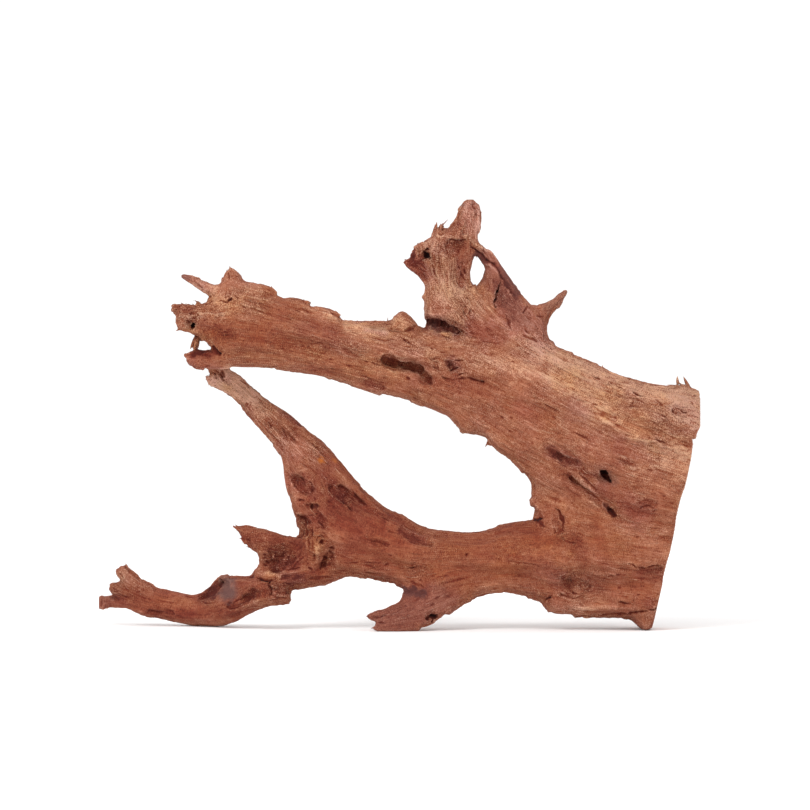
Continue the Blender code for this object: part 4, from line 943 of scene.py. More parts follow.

# Soft colour: line, half width in steps, then tan (dark where below 0), grey, and rose (orange
# where below 0). Some darken recesses, undersides and sides turned from the light, painted shade;
# the broad ones make the lower parts darker and the tops paler; others are the wood's own colour.
frontTones = [
    ([(182, 276), (187, 278)], 4, -0.24, 0.5, 0.6),
    ([(190, 279), (208, 290)], 6, 0.06, 0, 0.8),
    ([(345, 324), (372, 326), (400, 322)], 6, 0.20, 0, -0.1),
    ([(312, 318), (320, 332), (342, 338)], 7, -0.12, 0, 0),
    ([(232, 319), (262, 322), (286, 314)], 8, -0.12, 0, 0),
    ([(225, 345), (300, 350), (390, 372)], 15, 0.0, 0, -0.5),
    ([(238, 308), (262, 318)], 12, 0.0, 0, -0.4),
    ([(192, 342), (199, 346)], 6, -0.28, 0.15, 1.0),
    ([(430, 323), (436, 330)], 5, -0.1, 0.35, 0.6),
    ([(244, 537), (276, 541)], 5, -0.12, 0, 0),
    ([(264, 552), (288, 554)], 9, 0.12, 0, -0.6),
    ([(302, 528), (318, 546), (304, 562)], 11, 0.15, 0, -0.7),
    ([(248, 594), (272, 580)], 9, 0.0, 0, -0.6),
    ([(470, 290), (492, 300)], 9, 0.06, 0, -0.5),
    ([(520, 348), (600, 378), (690, 408)], 26, 0.16, 0, -0.1),
    ([(530, 400), (600, 430), (680, 460)], 28, 0.08, 0, 0),
    ([(430, 250), (440, 300), (470, 315)], 22, 0.10, 0, 0.1),
    ([(222, 382), (262, 412), (300, 445)], 16, 0.10, 0, 0.2),
    ([(228, 374), (254, 394)], 8, 0.35, 0, 0.2),
    ([(276, 430), (290, 440)], 7, 0.12, 0, 0),
    ([(298, 432), (316, 442)], 6, -0.10, 0, 0),
    ([(300, 470), (340, 500), (370, 520)], 18, -0.05, 0, 0),
    ([(380, 618), (420, 610)], 14, -0.10, 0, 0.1),
    ([(436, 296), (478, 302)], 20, 0.18, 0, -0.2),
    ([(470, 206), (474, 232)], 9, 0.20, 0, 0.8),
    ([(427, 240), (436, 250)], 7, 0.20, 0, 0.2),
    ([(414, 262), (422, 258)], 5, -0.16, 0, 0.3),
    ([(424, 269), (434, 274)], 5, 0.12, 0, 0),
    ([(450, 290), (458, 293)], 6, 0.18, 0, 0),
    ([(464, 203), (475, 207)], 6, 0.20, 0, 0.3),
    ([(477, 212), (479, 236)], 4, 0.22, 0, 0.3),
    ([(459, 225), (460, 236)], 5, -0.2, 0, 0.3),
    ([(419, 259)], 5, -0.2, 0, 0.4),
    ([(426, 290), (430, 298), (438, 308)], 6, -0.2, 0, 0),
    ([(440, 300), (438, 280)], 12, 0.08, 0, 0.1),
    ([(560, 376), (640, 424)], 13, 0.20, 0, -0.3),
    ([(540, 352), (620, 384), (694, 396)], 10, 0.35, 0, 0.2),
    ([(670, 390), (696, 394)], 7, 0.05, 0.14, 0.2),
    ([(494, 394), (510, 407), (532, 412)], 8, -0.12, 0, 0.2),
    ([(545, 418), (556, 436), (562, 454)], 10, -0.13, 0, 0.1),
    ([(482, 362), (512, 369), (546, 373)], 9, 0.17, 0, 0),
    ([(426, 332), (444, 342), (430, 354)], 9, 0.16, 0, -0.3),
    ([(416, 384), (446, 386), (480, 384)], 8, -0.16, 0, 0.2),
    ([(496, 320), (512, 330), (532, 348)], 7, 0.14, 0, 0.2),
    ([(464, 304), (470, 318), (480, 334)], 6, -0.14, 0, 0.3),
    ([(516, 318), (520, 334)], 6, -0.14, 0, 0.3),
    ([(484, 296), (498, 304)], 6, -0.12, 0, 0.3),
    ([(602, 412), (612, 418)], 6, 0.26, 0, 0),
    ([(634, 418), (652, 432), (672, 442)], 7, -0.14, 0, 0),
    ([(582, 452), (606, 464), (622, 472)], 7, -0.12, 0, 0.2),
    ([(616, 459), (628, 463)], 5, -0.16, 0, 0.2),
    ([(582, 476), (586, 480)], 4.5, -0.12, 0, 0.2),
    ([(660, 440), (680, 456)], 12, 0.24, 0, -0.1),
    ([(678, 410), (696, 420)], 12, 0.27, 0.04, 0.6),
    ([(632, 441), (650, 450), (664, 462)], 7, 0.20, 0, -0.2),
    ([(546, 366), (556, 370)], 6, -0.2, 0, 0.1),
    ([(625, 408), (668, 420)], 6, -0.13, 0, 0.1),
    ([(206, 290), (252, 300)], 15, 0.10, 0, -0.3),
    ([(200, 312), (226, 312)], 6, 0.14, 0, 0),
    ([(243, 284), (258, 288)], 6, 0.14, 0, 0.1),
    ([(198, 361), (226, 359)], 4.5, -0.10, 0, -0.2),
    ([(338, 348), (350, 356)], 6, 0.12, 0, 0),
    ([(212, 292), (220, 298)], 7, 0.22, 0, -0.2),
    ([(226, 312), (252, 316)], 9, 0.06, 0, -0.1),
    ([(232, 274), (236, 288)], 7, 0.02, 0, 0.1),
    ([(190, 335), (214, 334)], 6, 0.04, 0, -0.8),
    ([(310, 310), (345, 316)], 7, 0.22, 0, 0),
    ([(350, 326), (384, 336)], 8, 0.20, 0, -0.3),
    ([(368, 330), (385, 332)], 3, 0.10, 0, 1.0),
    ([(383, 338), (388, 342)], 4, -0.16, 0, 0.3),
    ([(372, 327), (384, 328)], 3, 0.02, 0.35, -0.4),
    ([(398, 318), (404, 326)], 9, 0.22, 0, -0.3),
    ([(386, 340), (424, 346)], 9, 0.14, 0, 0),
    ([(462, 354), (500, 362)], 11, 0.16, 0, 0),
    ([(472, 327), (482, 326), (500, 336)], 10, -0.15, 0, 0.7),
    ([(346, 340), (364, 344), (372, 366)], 9, 0.12, 0, -0.2),
    ([(296, 341), (310, 343)], 6, 0.12, 0, 0),
    ([(416, 340), (424, 352)], 7, 0.10, 0, 0),
    ([(556, 606), (580, 608)], 6, 0.16, 0, 0.1),
    ([(610, 607), (645, 608)], 6, -0.08, 0, 0.2),
    ([(548, 598), (562, 601)], 6, -0.14, 0, 0),
    ([(640, 604), (652, 590), (622, 576)], 6, -0.16, 0, 0),
    ([(560, 540), (575, 582)], 13, 0.0, 0, -0.4),
    ([(536, 540), (556, 541)], 7, -0.11, 0, 0),
    ([(596, 518), (600, 540), (602, 560)], 7, -0.12, 0, 0),
    ([(566, 520), (563, 526)], 5, -0.12, 0, 0),
    ([(215, 386), (252, 396)], 8, 0.28, 0, 0.1),
    ([(210, 378), (218, 382)], 5, 0.30, 0, 0.7),
    ([(219, 383), (228, 388)], 3.5, 0.14, 0, -0.9),
    ([(250, 396), (268, 408)], 8, 0.13, 0, 0.0),
    ([(290, 448), (330, 462)], 14, 0.00, 0, 0.3),
    ([(366, 508), (376, 514)], 7, 0.14, 0, 0.1),
    ([(336, 506), (346, 526)], 11, -0.12, 0, 0),
    ([(304, 476), (314, 482)], 6, -0.10, 0, 0),
    ([(288, 482), (296, 498)], 5, 0.22, 0, 0),
    ([(296, 508), (302, 512)], 4, 0.20, 0, -0.3),
    ([(316, 546), (320, 534), (334, 535)], 7, 0.12, 0, -0.3),
    ([(314, 560), (320, 548)], 6, 0.16, 0, -0.1),
    ([(322, 578), (338, 576)], 5, -0.10, 0, 0.2),
    ([(125, 578), (150, 590)], 7, 0.30, 0, 0),
    ([(160, 604), (190, 605)], 7, 0.12, 0, -0.6),
    ([(200, 612), (246, 604)], 6, -0.10, 0, -0.1),
    ([(140, 614), (190, 622), (228, 622)], 4, 0.12, 0, 0),
    ([(205, 604), (222, 602)], 5, 0.12, 0, -0.2),
    ([(268, 573), (304, 568)], 4.5, 0.24, 0, -0.4),
    ([(270, 600), (262, 602)], 6, 0.16, 0, -0.3),
    ([(378, 620), (415, 610), (440, 598)], 16, 0.12, 0.22, 0.3),
    ([(410, 580), (424, 586)], 6, -0.10, 0, 0.2),
    ([(456, 562), (468, 566)], 6, 0.09, 0, 0),
    ([(640, 470), (672, 482)], 13, 0.10, 0, 0),
    ([(560, 440), (660, 450)], 24, 0.06, 0, 0.1),
    ([(630, 530), (662, 545)], 12, 0.10, 0, 0),
    ([(570, 510), (600, 530), (630, 560)], 14, 0.04, 0, -0.4),
    ([(450, 545), (540, 545)], 9, 0.06, 0, -0.4),
    ([(585, 415), (575, 405)], 9, 0.0, 0.14, 0.6),
    ([(622, 445), (640, 450)], 9, -0.04, 0, 0.7),
    ([(600, 486), (640, 510)], 12, -0.02, 0, 0.8),
    ([(220, 338), (300, 342)], 12, -0.20, 0, 0.1),
    ([(205, 326), (228, 332)], 7, -0.22, 0, 0.3),
    ([(198, 364), (212, 362)], 9, -0.06, 0, 0.6),
    ([(194, 354), (212, 352)], 4, -0.30, 0, 0.6),
    ([(176, 307), (190, 308)], 4, -0.08, 0, 0.3),
    ([(306, 330), (350, 345)], 12, -0.06, 0, 0.5),
    ([(314, 368), (336, 369)], 6, -0.16, 0, 0.4),
    ([(367, 383), (382, 387)], 4, -0.24, 0, 0.3),
    ([(446, 246), (466, 249)], 9, -0.16, 0, 0.4),
    ([(461, 262), (462, 284)], 5, -0.08, 0, 0.5),
    ([(409, 262), (424, 274)], 8, -0.34, 0, 1.0),
    ([(413, 246), (412, 256)], 3, -0.26, 0.1, 0.8),
    ([(500, 288), (512, 312)], 10, -0.24, 0, 1.0),
    ([(520, 318), (545, 334)], 14, -0.02, 0.08, 0.8),
    ([(494, 268), (508, 298), (520, 318)], 13, 0.02, 0.22, 0.7),
    ([(483, 253), (494, 268)], 6, 0.03, 0.25, 0.6),
    ([(548, 306), (566, 290)], 6, 0.06, 0.3, 0.4),
    ([(180, 275), (200, 284)], 6, 0.10, 0.12, 0.4),
    ([(100, 602), (116, 590), (122, 570)], 7, 0.04, 0.15, 0),
    ([(500, 268), (508, 280), (517, 293)], 4.2, -0.40, 0.36, 1.0),
    ([(476, 254), (486, 260)], 3.6, -0.36, 0.40, 0.8),
    ([(428, 322), (440, 324)], 7, -0.30, 0.1, 1.0),
    ([(447, 327), (456, 330)], 4.5, -0.10, 0.1, 1.0),
    ([(431, 329), (441, 331), (450, 335)], 2.6, 0.14, 0, -1.0),
    ([(453, 338), (462, 337), (468, 332)], 5, 0.16, 0, 0.3),
    ([(575, 540), (585, 562)], 7, -0.22, 0, 0.1),
    ([(560, 580), (592, 584)], 11, -0.14, 0.05, 0.4),
    ([(540, 564), (560, 572)], 8, 0.0, 0, 0.3),
    ([(640, 572), (660, 575)], 7, -0.20, 0, 0.6),
    ([(291, 478), (312, 490)], 9, -0.12, 0, 0.8),
    ([(335, 488), (362, 504)], 8, -0.14, 0, 0.7),
    ([(324, 474), (330, 480)], 6, -0.12, 0, 0.7),
    ([(330, 452), (352, 476), (372, 496)], 3.5, -0.12, 0, -0.5),
    ([(272, 424), (290, 438)], 8, -0.22, 0, 0.1),
    ([(285, 412), (300, 424)], 4, -0.30, 0, 0.7),
    ([(150, 612), (190, 614)], 6, -0.26, 0, 0.2),
    ([(102, 604), (120, 602)], 6, -0.10, 0, 0.9),
    ([(274, 556), (290, 566)], 12, -0.26, 0, 0.6),
    ([(288, 566), (296, 564)], 5, -0.05, 0, 1.2),
    ([(286, 578), (300, 578)], 5, -0.20, 0.1, 1.0),
    ([(212, 588), (208, 594)], 6, -0.20, 0.1, 0.6),
    ([(227, 584), (228, 592)], 8.6, -0.12, 0.8, 0.4),
    ([(236, 584), (262, 592)], 9, -0.09, 0, 0.1),
    ([(218, 615), (234, 615)], 5, -0.16, 0, 0),
    ([(250, 592), (262, 594)], 6, -0.20, 0, -0.2),
    ([(405, 591), (413, 592), (421, 593)], 5.5, -0.38, 0.45, 0.9),
    ([(403, 530), (425, 542)], 5, -0.10, 0.05, 0.7),
    ([(545, 515), (552, 508)], 8, -0.10, 0, 0.2),
    ([(544, 488), (560, 496)], 7, 0.12, 0, 0),
    ([(556, 462), (568, 478), (574, 492)], 8, -0.18, 0, 0),
    ([(606, 492), (630, 508), (668, 500)], 9, -0.12, 0, 0),
    ([(549, 450), (575, 463)], 6, -0.14, 0.1, 0.8),
    ([(597, 470), (604, 482)], 7, 0.08, 0.1, 0.3),
    ([(610, 476), (614, 482)], 4, 0.02, 0.35, 0),
    ([(604, 504), (607, 507)], 3.5, 0.0, 0.25, 0.8),
    ([(460, 206), (463, 204)], 3.5, -0.10, 0.35, 0.4),
    ([(472, 204), (478, 214)], 4, -0.20, 0.1, 0.5),
    ([(455, 365), (452, 362)], 6, -0.14, 0.15, 0.8),
    ([(313, 506), (316, 505)], 3.5, -0.16, 0.1, -1.0),
    ([(500, 520), (535, 530)], 10, -0.12, 0, -0.2),
    ([(400, 550), (540, 558)], 34, -0.11, 0, -0.1),
    ([(320, 530), (380, 540)], 34, -0.16, 0, 0.2),
    ([(338, 502), (352, 530), (350, 560)], 9, -0.10, 0, 0),
    ([(333, 529)], 6, -0.12, 0, 0),
    ([(300, 514), (324, 518)], 8, -0.10, 0, 0.2),
    ([(300, 500), (310, 560)], 20, -0.14, 0, 0.2),
    ([(130, 600), (270, 600)], 26, -0.18, 0, 0.4),
    ([(245, 535), (300, 560)], 20, -0.18, 0, 0.3),
    ([(380, 615), (440, 600)], 20, -0.14, 0, 0.6),
    ([(330, 470), (380, 510)], 18, -0.12, 0, 0.2),
    ([(560, 590), (650, 590)], 24, 0.02, 0, 0.2),
    ([(640, 622), (646, 625)], 8, -0.02, 0, 0.1),
]

# How rough the surface is, above or below the usual: line, half width in steps, roughness
frontNaps = [
    ([(225, 385), (262, 415), (310, 455)], 16, 0.35),
    ([(300, 345), (372, 362)], 16, 0.2),
    ([(550, 352), (620, 390), (692, 404)], 24, 0.9),
    ([(655, 440), (690, 430)], 20, 0.5),
    ([(440, 265), (452, 300)], 26, 1.0),
    ([(466, 205), (464, 235)], 13, 0.6),
    ([(190, 308), (255, 300)], 14, 0.8),
    ([(350, 330), (470, 352)], 20, 0.6),
    ([(278, 558)], 14, 1.2),
    ([(276, 590)], 11, 0.9),
    ([(205, 597), (215, 585)], 7, 1.0),
    ([(280, 430)], 16, 0.5),
    ([(365, 545), (530, 558)], 28, -0.5),
    ([(130, 600), (240, 612)], 16, -0.5),
    ([(570, 520), (650, 560)], 28, -0.25),
    ([(228, 588)], 7, -1.2),
    ([(260, 340), (320, 345)], 16, 0.1),
]

# Small orange stains on the arm: across, down, radius in steps
stains = [(321, 460, 3.6), (335, 460, 2.2), (325, 462, 1.6)]

# The same kinds of mark on the back, which the photograph doesn't show
backMarks = [
    ([(560, 410), (590, 425), (612, 440)], 1.6, 1.6, 0.85),
    ([(640, 400), (655, 404), (668, 412)], 1.4, 1.3, 0.85),
    ([(655, 470)], 3.4, 3.4, 1.0),
    ([(655, 474), (660, 481)], 1.6, 1.8, 1.0),
    ([(575, 500), (600, 518), (626, 532)], 1.5, 1.4, 0.85),
    ([(584, 512), (604, 526)], 1.2, 1.0, 0.7),
    ([(530, 380)], 2.6, 2.4, 1.0),
    ([(610, 575), (640, 580)], 1.4, 1.1, 0.8),
    ([(560, 558), (575, 566)], 1.6, 1.3, 0.9),
    ([(300, 330), (330, 340), (352, 350)], 1.5, 1.3, 0.85),
    ([(410, 358), (440, 370)], 1.6, 1.4, 0.9),
    ([(360, 335)], 2.4, 2.2, 1.0),
    ([(230, 330), (252, 336)], 1.3, 1.1, 0.8),
    ([(455, 300), (457, 318)], 1.4, 1.5, 0.9),
    ([(468, 225), (466, 242)], 1.2, 1.0, 0.8),
    ([(500, 300), (515, 318)], 1.4, 1.3, 0.85),
    ([(400, 540), (440, 550), (470, 556)], 1.5, 1.3, 0.85),
    ([(520, 560)], 2.6, 2.4, 1.0),
    ([(330, 500), (352, 524)], 1.6, 1.5, 0.85),
    ([(345, 556)], 2.2, 2.2, 1.0),
    ([(260, 420), (285, 450)], 1.4, 1.2, 0.8),
    ([(300, 490), (308, 505)], 1.6, 1.3, 0.85),
    ([(262, 545), (285, 552)], 1.3, 1.1, 0.8),
    ([(160, 604), (200, 612)], 1.3, 1.1, 0.8),
    ([(235, 600), (262, 592)], 1.6, 1.5, 0.9),
    ([(395, 612), (420, 602)], 1.3, 1.1, 0.8),
]
backHollows = [
    ([(580, 470), (620, 492), (652, 500)], 10, 3.0, 0.36),
    ([(540, 420), (575, 440)], 8, 2.4, 0.42),
    ([(625, 425), (670, 440)], 7, 1.8, 0.32),
    ([(480, 365)], 7, 2.8, 0.66),
    ([(600, 440)], 7, 3.0, 0.66),
    ([(350, 520)], 6, 2.6, 0.60),
    ([(620, 560)], 6, 2.6, 0.60),
    ([(270, 325)], 6, 2.4, 0.55),
    ([(300, 345), (360, 362)], 7, 1.8, 0.32),
    ([(430, 342), (470, 350)], 6, 2.0, 0.38),
    ([(440, 290), (450, 318)], 9, 2.0, 0.38),
    ([(400, 556), (470, 566)], 7, 2.0, 0.34),
    ([(300, 530), (330, 548)], 8, 2.6, 0.50),
    ([(215, 596), (240, 590)], 6, 2.0, 0.45),
    ([(290, 450), (310, 475)], 6, 1.8, 0.38),
    ([(415, 600), (435, 592)], 6, 1.6, 0.38),
    ([(560, 600), (600, 604)], 6, 1.6, 0.34),
]
backRidges = [
    ([(540, 445), (590, 475), (640, 512)], 4.0, 1.8),
    ([(560, 395), (620, 415), (680, 428)], 3.4, 1.4),
    ([(280, 318), (340, 334), (400, 346)], 3.4, 1.3),
    ([(400, 372), (450, 392), (490, 415)], 3.2, 1.3),
    ([(470, 300), (500, 330), (540, 352)], 3.4, 1.5),
    ([(350, 545), (420, 548), (500, 552)], 3.4, 1.3),
    ([(330, 470), (360, 500), (400, 522)], 3.0, 1.3),
    ([(560, 588), (620, 594), (650, 598)], 3.2, 1.3),
    ([(462, 215), (458, 240), (452, 270)], 3.0, 1.2),
    ([(250, 408), (280, 436), (300, 462)], 2.6, 1.0),
    ([(150, 600), (200, 606), (240, 604)], 2.6, 0.9),
]
backTones = [
    ([(540, 360), (620, 388), (690, 400)], 14, 0.20, 0, -0.2),
    ([(600, 440), (640, 470)], 20, -0.12, 0, 0.5),
    ([(480, 365), (500, 380)], 14, -0.16, 0, 0.4),
    ([(430, 300), (460, 280)], 18, 0.14, 0, 0.1),
    ([(300, 330), (400, 350)], 14, 0.10, 0, -0.2),
    ([(220, 320), (260, 330)], 14, -0.12, 0, 0.3),
    ([(330, 530), (420, 555)], 22, -0.14, 0, 0.2),
    ([(560, 560), (650, 590)], 20, -0.10, 0, 0.3),
    ([(560, 500), (640, 530)], 12, 0.12, 0, -0.3),
    ([(250, 405), (290, 440)], 10, 0.12, 0, 0),
    ([(300, 490), (310, 540)], 14, -0.20, 0.1, 0.5),
    ([(130, 600), (240, 606)], 18, -0.14, 0, 0.3),
    ([(380, 612), (430, 600)], 14, -0.10, 0, 0.4),
    ([(600, 440)], 9, -0.1, 0.35, 0.3),
    ([(420, 556), (450, 560)], 8, -0.1, 0.30, 0.5),
]
backNaps = [
    ([(550, 352), (620, 390), (692, 404)], 24, 0.8),
    ([(440, 265), (452, 300)], 26, 0.8),
    ([(190, 308), (255, 300)], 14, 0.7),
    ([(300, 535)], 16, 0.8),
    ([(620, 500)], 26, -0.4),
    ([(420, 550)], 26, -0.3),
]


class Skin:
    # the fine skin's points in mm, and what is known at each of them
    def __init__(self, piece):
        self.mesh = piece.data
        self.points = vectorsOf(self.mesh.vertices, "co") / mm
        self.ring = Neighbours(self.mesh)
        self.points = self.ring.smooth(self.points, 5)
        setPositions(self.mesh, self.points)
        self.outward = vectorsOf(self.mesh.vertex_normals, "vector")
        self.across, self.down = seenFromFront(self.points)
        self.count = len(self.points)
        self.push, self.dark, self.tan, self.grey, self.rose, self.nap = np.zeros((6, self.count))

    def near(self, line, reach):
        spots = np.array(line, float)
        low, high = spots.min(axis=0) - reach, spots.max(axis=0) + reach
        within = (self.across > low[0]) & (self.across < high[0])
        return np.flatnonzero(within & (self.down > low[1]) & (self.down < high[1]))


# The sawn end in mm: an upright cut on top, and below its knee a slanted one
sawValues = {
    "uprightAt": 210.74,
    "slantAt": (193.6, 73.2),       # across and up, a spot on the slanted cut
    "slantOut": (0.975, 0.223),     # the way it faces: across, and down
    "slantRise": 0.2287,            # across for each mm up
    "knee": 134.8,
    "shoulder": (134.0, 207.5, 0.75),   # where the worn corner starts: up, across, and its rise
    "skinDepth": (-1.4, -0.7),      # how far inside the cuts the sawn look starts and is full
    "facing": (0.6, 0.85),          # how squarely a sawn spot faces outward
    "edgeReach": (-9.0, -1.0),      # how far inside the cuts their wandering edge is felt
    "edgeWear": (0.05, 0.25),       # how far the edge is worn back, and how unevenly
    "pithDepth": -6.0,              # y and z where the rings start
    "pithHeight": 92.0,
    "flatness": 0.5,                # how much flatter than round the rings are
    "ringWidth": 3.2,
    "teeth": (2.6, 0.5, 0.8),       # how fast the saw marks repeat upward and backward, and jitter
    "reliefKept": 0.15,             # share of the surface's relief left on the cut
    "darkLost": 0.8,
}

# Drying checks that run out from the pith, in mm
checkValues = {
    "seed": 17,
    "count": 7,
    "inner": (1, 16),
    "outer": (18, 40),
    "rise": 0.9,            # how much less they rise than the rings
    "drift": 0.30,
    "across": 210.7,        # where they lie on the upright cut
    "width": (0.6, 1.0),
    "depth": (0.8, 1.6),
    "darkness": (0.6, 0.9),
}


def outsideSaw(points):
    # mm outside the saw cut
    (atX, atZ), (outX, outZ) = sawValues["slantAt"], sawValues["slantOut"]
    slanted = (points[:, 0] - atX) * outX - (points[:, 2] - atZ) * outZ
    upright = points[:, 0] - sawValues["uprightAt"]
    return np.where(points[:, 2] < sawValues["knee"], slanted, upright)


def sawnAcross(z, upright):
    # how far across the slanted cut is at each height, and above it what holds for the upright one
    atX, atZ = sawValues["slantAt"]
    return np.where(z < sawValues["shoulder"][0], atX + (z - atZ) * sawValues["slantRise"], upright)


def layNap(skin, jitter, side, naps):
    facing = smoothStep(-0.1, 0.3, side * skin.outward[:, 1])
    for line, width, nap in naps:
        spots = skin.near(line, width * 1.8)
        away = distanceToLine(skin.across[spots], skin.down[spots], line)[0] / width
        away = away + 0.25 * jitter[spots]
        skin.nap[spots] += nap * smoothStep(1.5, 0.5, away) * facing[spots]


# How each kind of mark is formed, with lengths in its half widths: fray is how far its edge is
# frayed, bowl how steep its sides are, and a lip or a rim stands up beside it. The tan of a lip,
# a rim and a crest is a painted highlight, and shade is the painted shade inside hollows and marks.
markValues = {
    "hollow": {"fray": 0.16, "bowl": 1.5, "shade": (1.15, 0.0), "shadeFray": 0.3, "darkest": 0.84,
               "lip": 0.12, "lipAt": 1.15, "lipWidth": 0.25, "lipTan": 0.10},
    "mark": {"fray": 0.26, "bowl": 1.2, "shade": (1.45, 0.1), "wide": 2.2, "pointed": (0.35, 0.7),
             "rim": 0.16, "highest": 0.3, "rimAt": 1.3, "rimWidth": 0.4, "rimTan": 0.08},
    "ridge": {"fray": 0.2, "tan": 0.22, "clears": 0.7},
    "tone": {"fray": 0.3, "shade": (1.5, 0.4)},
}


def markSide(skin, jitter, side, marks, hollows, ridges, tones):
    # side is -1 for the front and 1 for the back
    facing = smoothStep(-0.02, 0.22, side * skin.outward[:, 1])
    # marks wander a little, so that none has a ruled edge
    across = cloud(skin.points, "wanderAcross", skin.across)
    down = cloud(skin.points, "wanderDown", skin.down)

    def around(line, reach):
        spots = skin.near(line, reach)
        gap, share = distanceToLine(across[spots], down[spots], line)
        return spots, facing[spots], jitter[spots], gap, share

    form = markValues["hollow"]
    for line, width, depth, darkness in hollows:
        spots, seen, fray, gap, share = around(line, width * 2 + 2)
        taper = 0.8 + 0.2 * np.sin(np.pi * share) if len(line) > 1 else 1.0
        away = gap / (width * taper) + form["fray"] * fray
        bowl = np.clip(1 - np.maximum(away, 0) ** 2, 0, 1) ** form["bowl"]
        lip = np.exp(-((away - form["lipAt"]) / form["lipWidth"]) ** 2)
        skin.push[spots] += (form["lip"] * depth * lip - depth * bowl) * seen
        # the lip is painted paler, a painted highlight
        skin.tan[spots] += form["lipTan"] * lip * seen
        # the hollow is painted darker, painted shade
        shade = smoothStep(*form["shade"], away + form["shadeFray"] * fray) * darkness * seen
        skin.dark[spots] = np.maximum(skin.dark[spots], np.minimum(shade, form["darkest"]))
    form = markValues["mark"]
    for line, width, depth, darkness in marks:
        spots, seen, fray, gap, share = around(line, width * 2.4 + 2)
        pointed = form["pointed"][0 if width > form["wide"] else 1]
        middle = np.sin(np.pi * np.clip(share, 0.03, 0.97))
        taper = 1 - pointed + pointed * middle if len(line) > 1 else 1.0
        away = gap / (width * taper) + form["fray"] * fray
        bowl = np.clip(1 - np.maximum(away, 0) ** 2, 0, 1) ** form["bowl"]
        skin.push[spots] -= depth * bowl * seen
        rim = np.exp(-((away - form["rimAt"]) / form["rimWidth"]) ** 2)
        skin.push[spots] += rim * min(form["highest"], form["rim"] * depth) * seen
        # the rim is painted paler, a painted highlight
        skin.tan[spots] += form["rimTan"] * rim * seen
        # the mark is painted darker, painted shade
        shade = smoothStep(*form["shade"], away) * darkness * seen
        skin.dark[spots] = np.maximum(skin.dark[spots], shade)
    form = markValues["ridge"]
    for line, width, height in ridges:
        spots, seen, fray, gap, share = around(line, width * 2 + 1)
        away = gap / width + form["fray"] * fray
        crest = np.clip(1 - np.maximum(away, 0) ** 2, 0, 1) * (0.5 + 0.5 * np.sin(np.pi * share))
        skin.push[spots] += height * crest * seen
        # the crest is painted paler, a painted highlight, and loses painted shade
        skin.tan[spots] += form["tan"] * crest * seen
        skin.dark[spots] *= 1 - form["clears"] * crest * seen
    form = markValues["tone"]
    for line, width, tan, grey, rose in tones:
        spots, seen, fray, gap, _ = around(line, width * 1.8)
        soft = smoothStep(*form["shade"], gap / width + form["fray"] * fray) * seen
        skin.tan[spots] += tan * soft
        skin.rose[spots] += rose * soft
        skin.grey[spots] = np.maximum(skin.grey[spots], grey * soft)


def thinParts(skin):
    for line, width, amount in frontThinned:
        spots = skin.near(line, width * 1.5)
        away = distanceToLine(skin.across[spots], skin.down[spots], line)[0] / width
        skin.push[spots] -= amount * smoothStep(1.3, 0.6, away)


def carvePath(skin, path, width, depth, darkness):
    low, high = path.min(axis=0) - 2 * width, path.max(axis=0) + 2 * width
    spots = np.flatnonzero(((skin.points > low) & (skin.points < high)).all(axis=1))
    if len(spots) == 0:
        return
    gaps = np.linalg.norm(skin.points[spots][:, None, :] - path[None, :, :], axis=2)
    nearest = gaps.argmin(axis=1)
    taper = np.sin(np.pi * (nearest + 1) / (len(path) + 1)) ** 0.5
    away = gaps.min(axis=1) / (width * taper)
    bowl = np.clip(1 - away**2, 0, 1)
    skin.push[spots] -= depth * bowl * taper
    # painted shade inside the cut
    skin.dark[spots] = np.maximum(skin.dark[spots], smoothStep(1.2, 0.4, away) * darkness)


def carveDrawn(skin, path, draw, kind):
    # a mark whose width, depth and darkness are drawn in that order
    carvePath(skin, path, *(draw.uniform(*kind[size]) for size in ("width", "depth", "darkness")))


# Marks with no place of their own: cracks follow the grain, pits are wider, dashes are short nicks
wildMarks = {
    "seed": 11,
    "onFront": 0.12,        # share of the front's points that may start a crack
    "frontCracks": 36,
    "floorGap": (4, 3),     # mm, how high cracks and pits start, and dashes
    "crack": {"count": 150, "hop": 1.5, "sink": 0.2, "length": (8, 30),
              "width": (0.7, 1.3), "depth": (0.5, 1.3), "darkness": (0.5, 0.95)},
    "pit": {"count": 26, "hop": 1.6, "sink": 0.0, "hops": (1, 5),
            "width": (1.4, 2.8), "depth": (1.2, 3.0), "darkness": (0.7, 1.0)},
    "dash": {"count": 260, "hop": 0.7, "sink": 0.0, "hops": (2, 7),
             "width": (0.6, 0.95), "depth": (0.4, 0.9), "darkness": (0.5, 0.95)},
}


def markElsewhere(skin, field):
    # cracks and pits on the back, the top and the underside, and a few on the front
    draw = np.random.default_rng(wildMarks["seed"])
    facing = -skin.outward[:, 1]
    crackFloor, dashFloor = wildMarks["floorGap"]
    allowed = np.flatnonzero((facing < 0.1) & (skin.points[:, 2] > crackFloor))
    fewer = np.flatnonzero((facing > 0.3) & (draw.random(skin.count) < wildMarks["onFront"]))
    anywhere = np.flatnonzero(skin.points[:, 2] > dashFloor)

    def pick(among, count):
        return among[draw.integers(0, len(among), count)]

    def carve(starts, kind):
        for start in starts:
            hops = (int(draw.uniform(*kind["length"]) / kind["hop"]) if "length" in kind
                    else draw.integers(*kind["hops"]))
            walker = skin.points[start:start + 1] - skin.outward[start] * kind["sink"]
            path = [walker[0]]
            for _ in range(hops):
                walker = walker + kind["hop"] * field.at(walker)
                path.append(walker[0])
            carveDrawn(skin, np.array(path), draw, kind)

    crack, pit, dash = wildMarks["crack"], wildMarks["pit"], wildMarks["dash"]
    elsewhere = pick(allowed, crack["count"])
    carve(np.concatenate((elsewhere, pick(fewer, wildMarks["frontCracks"]))), crack)
    carve(pick(allowed, pit["count"]), pit)
    carve(pick(anywhere, dash["count"]), dash)


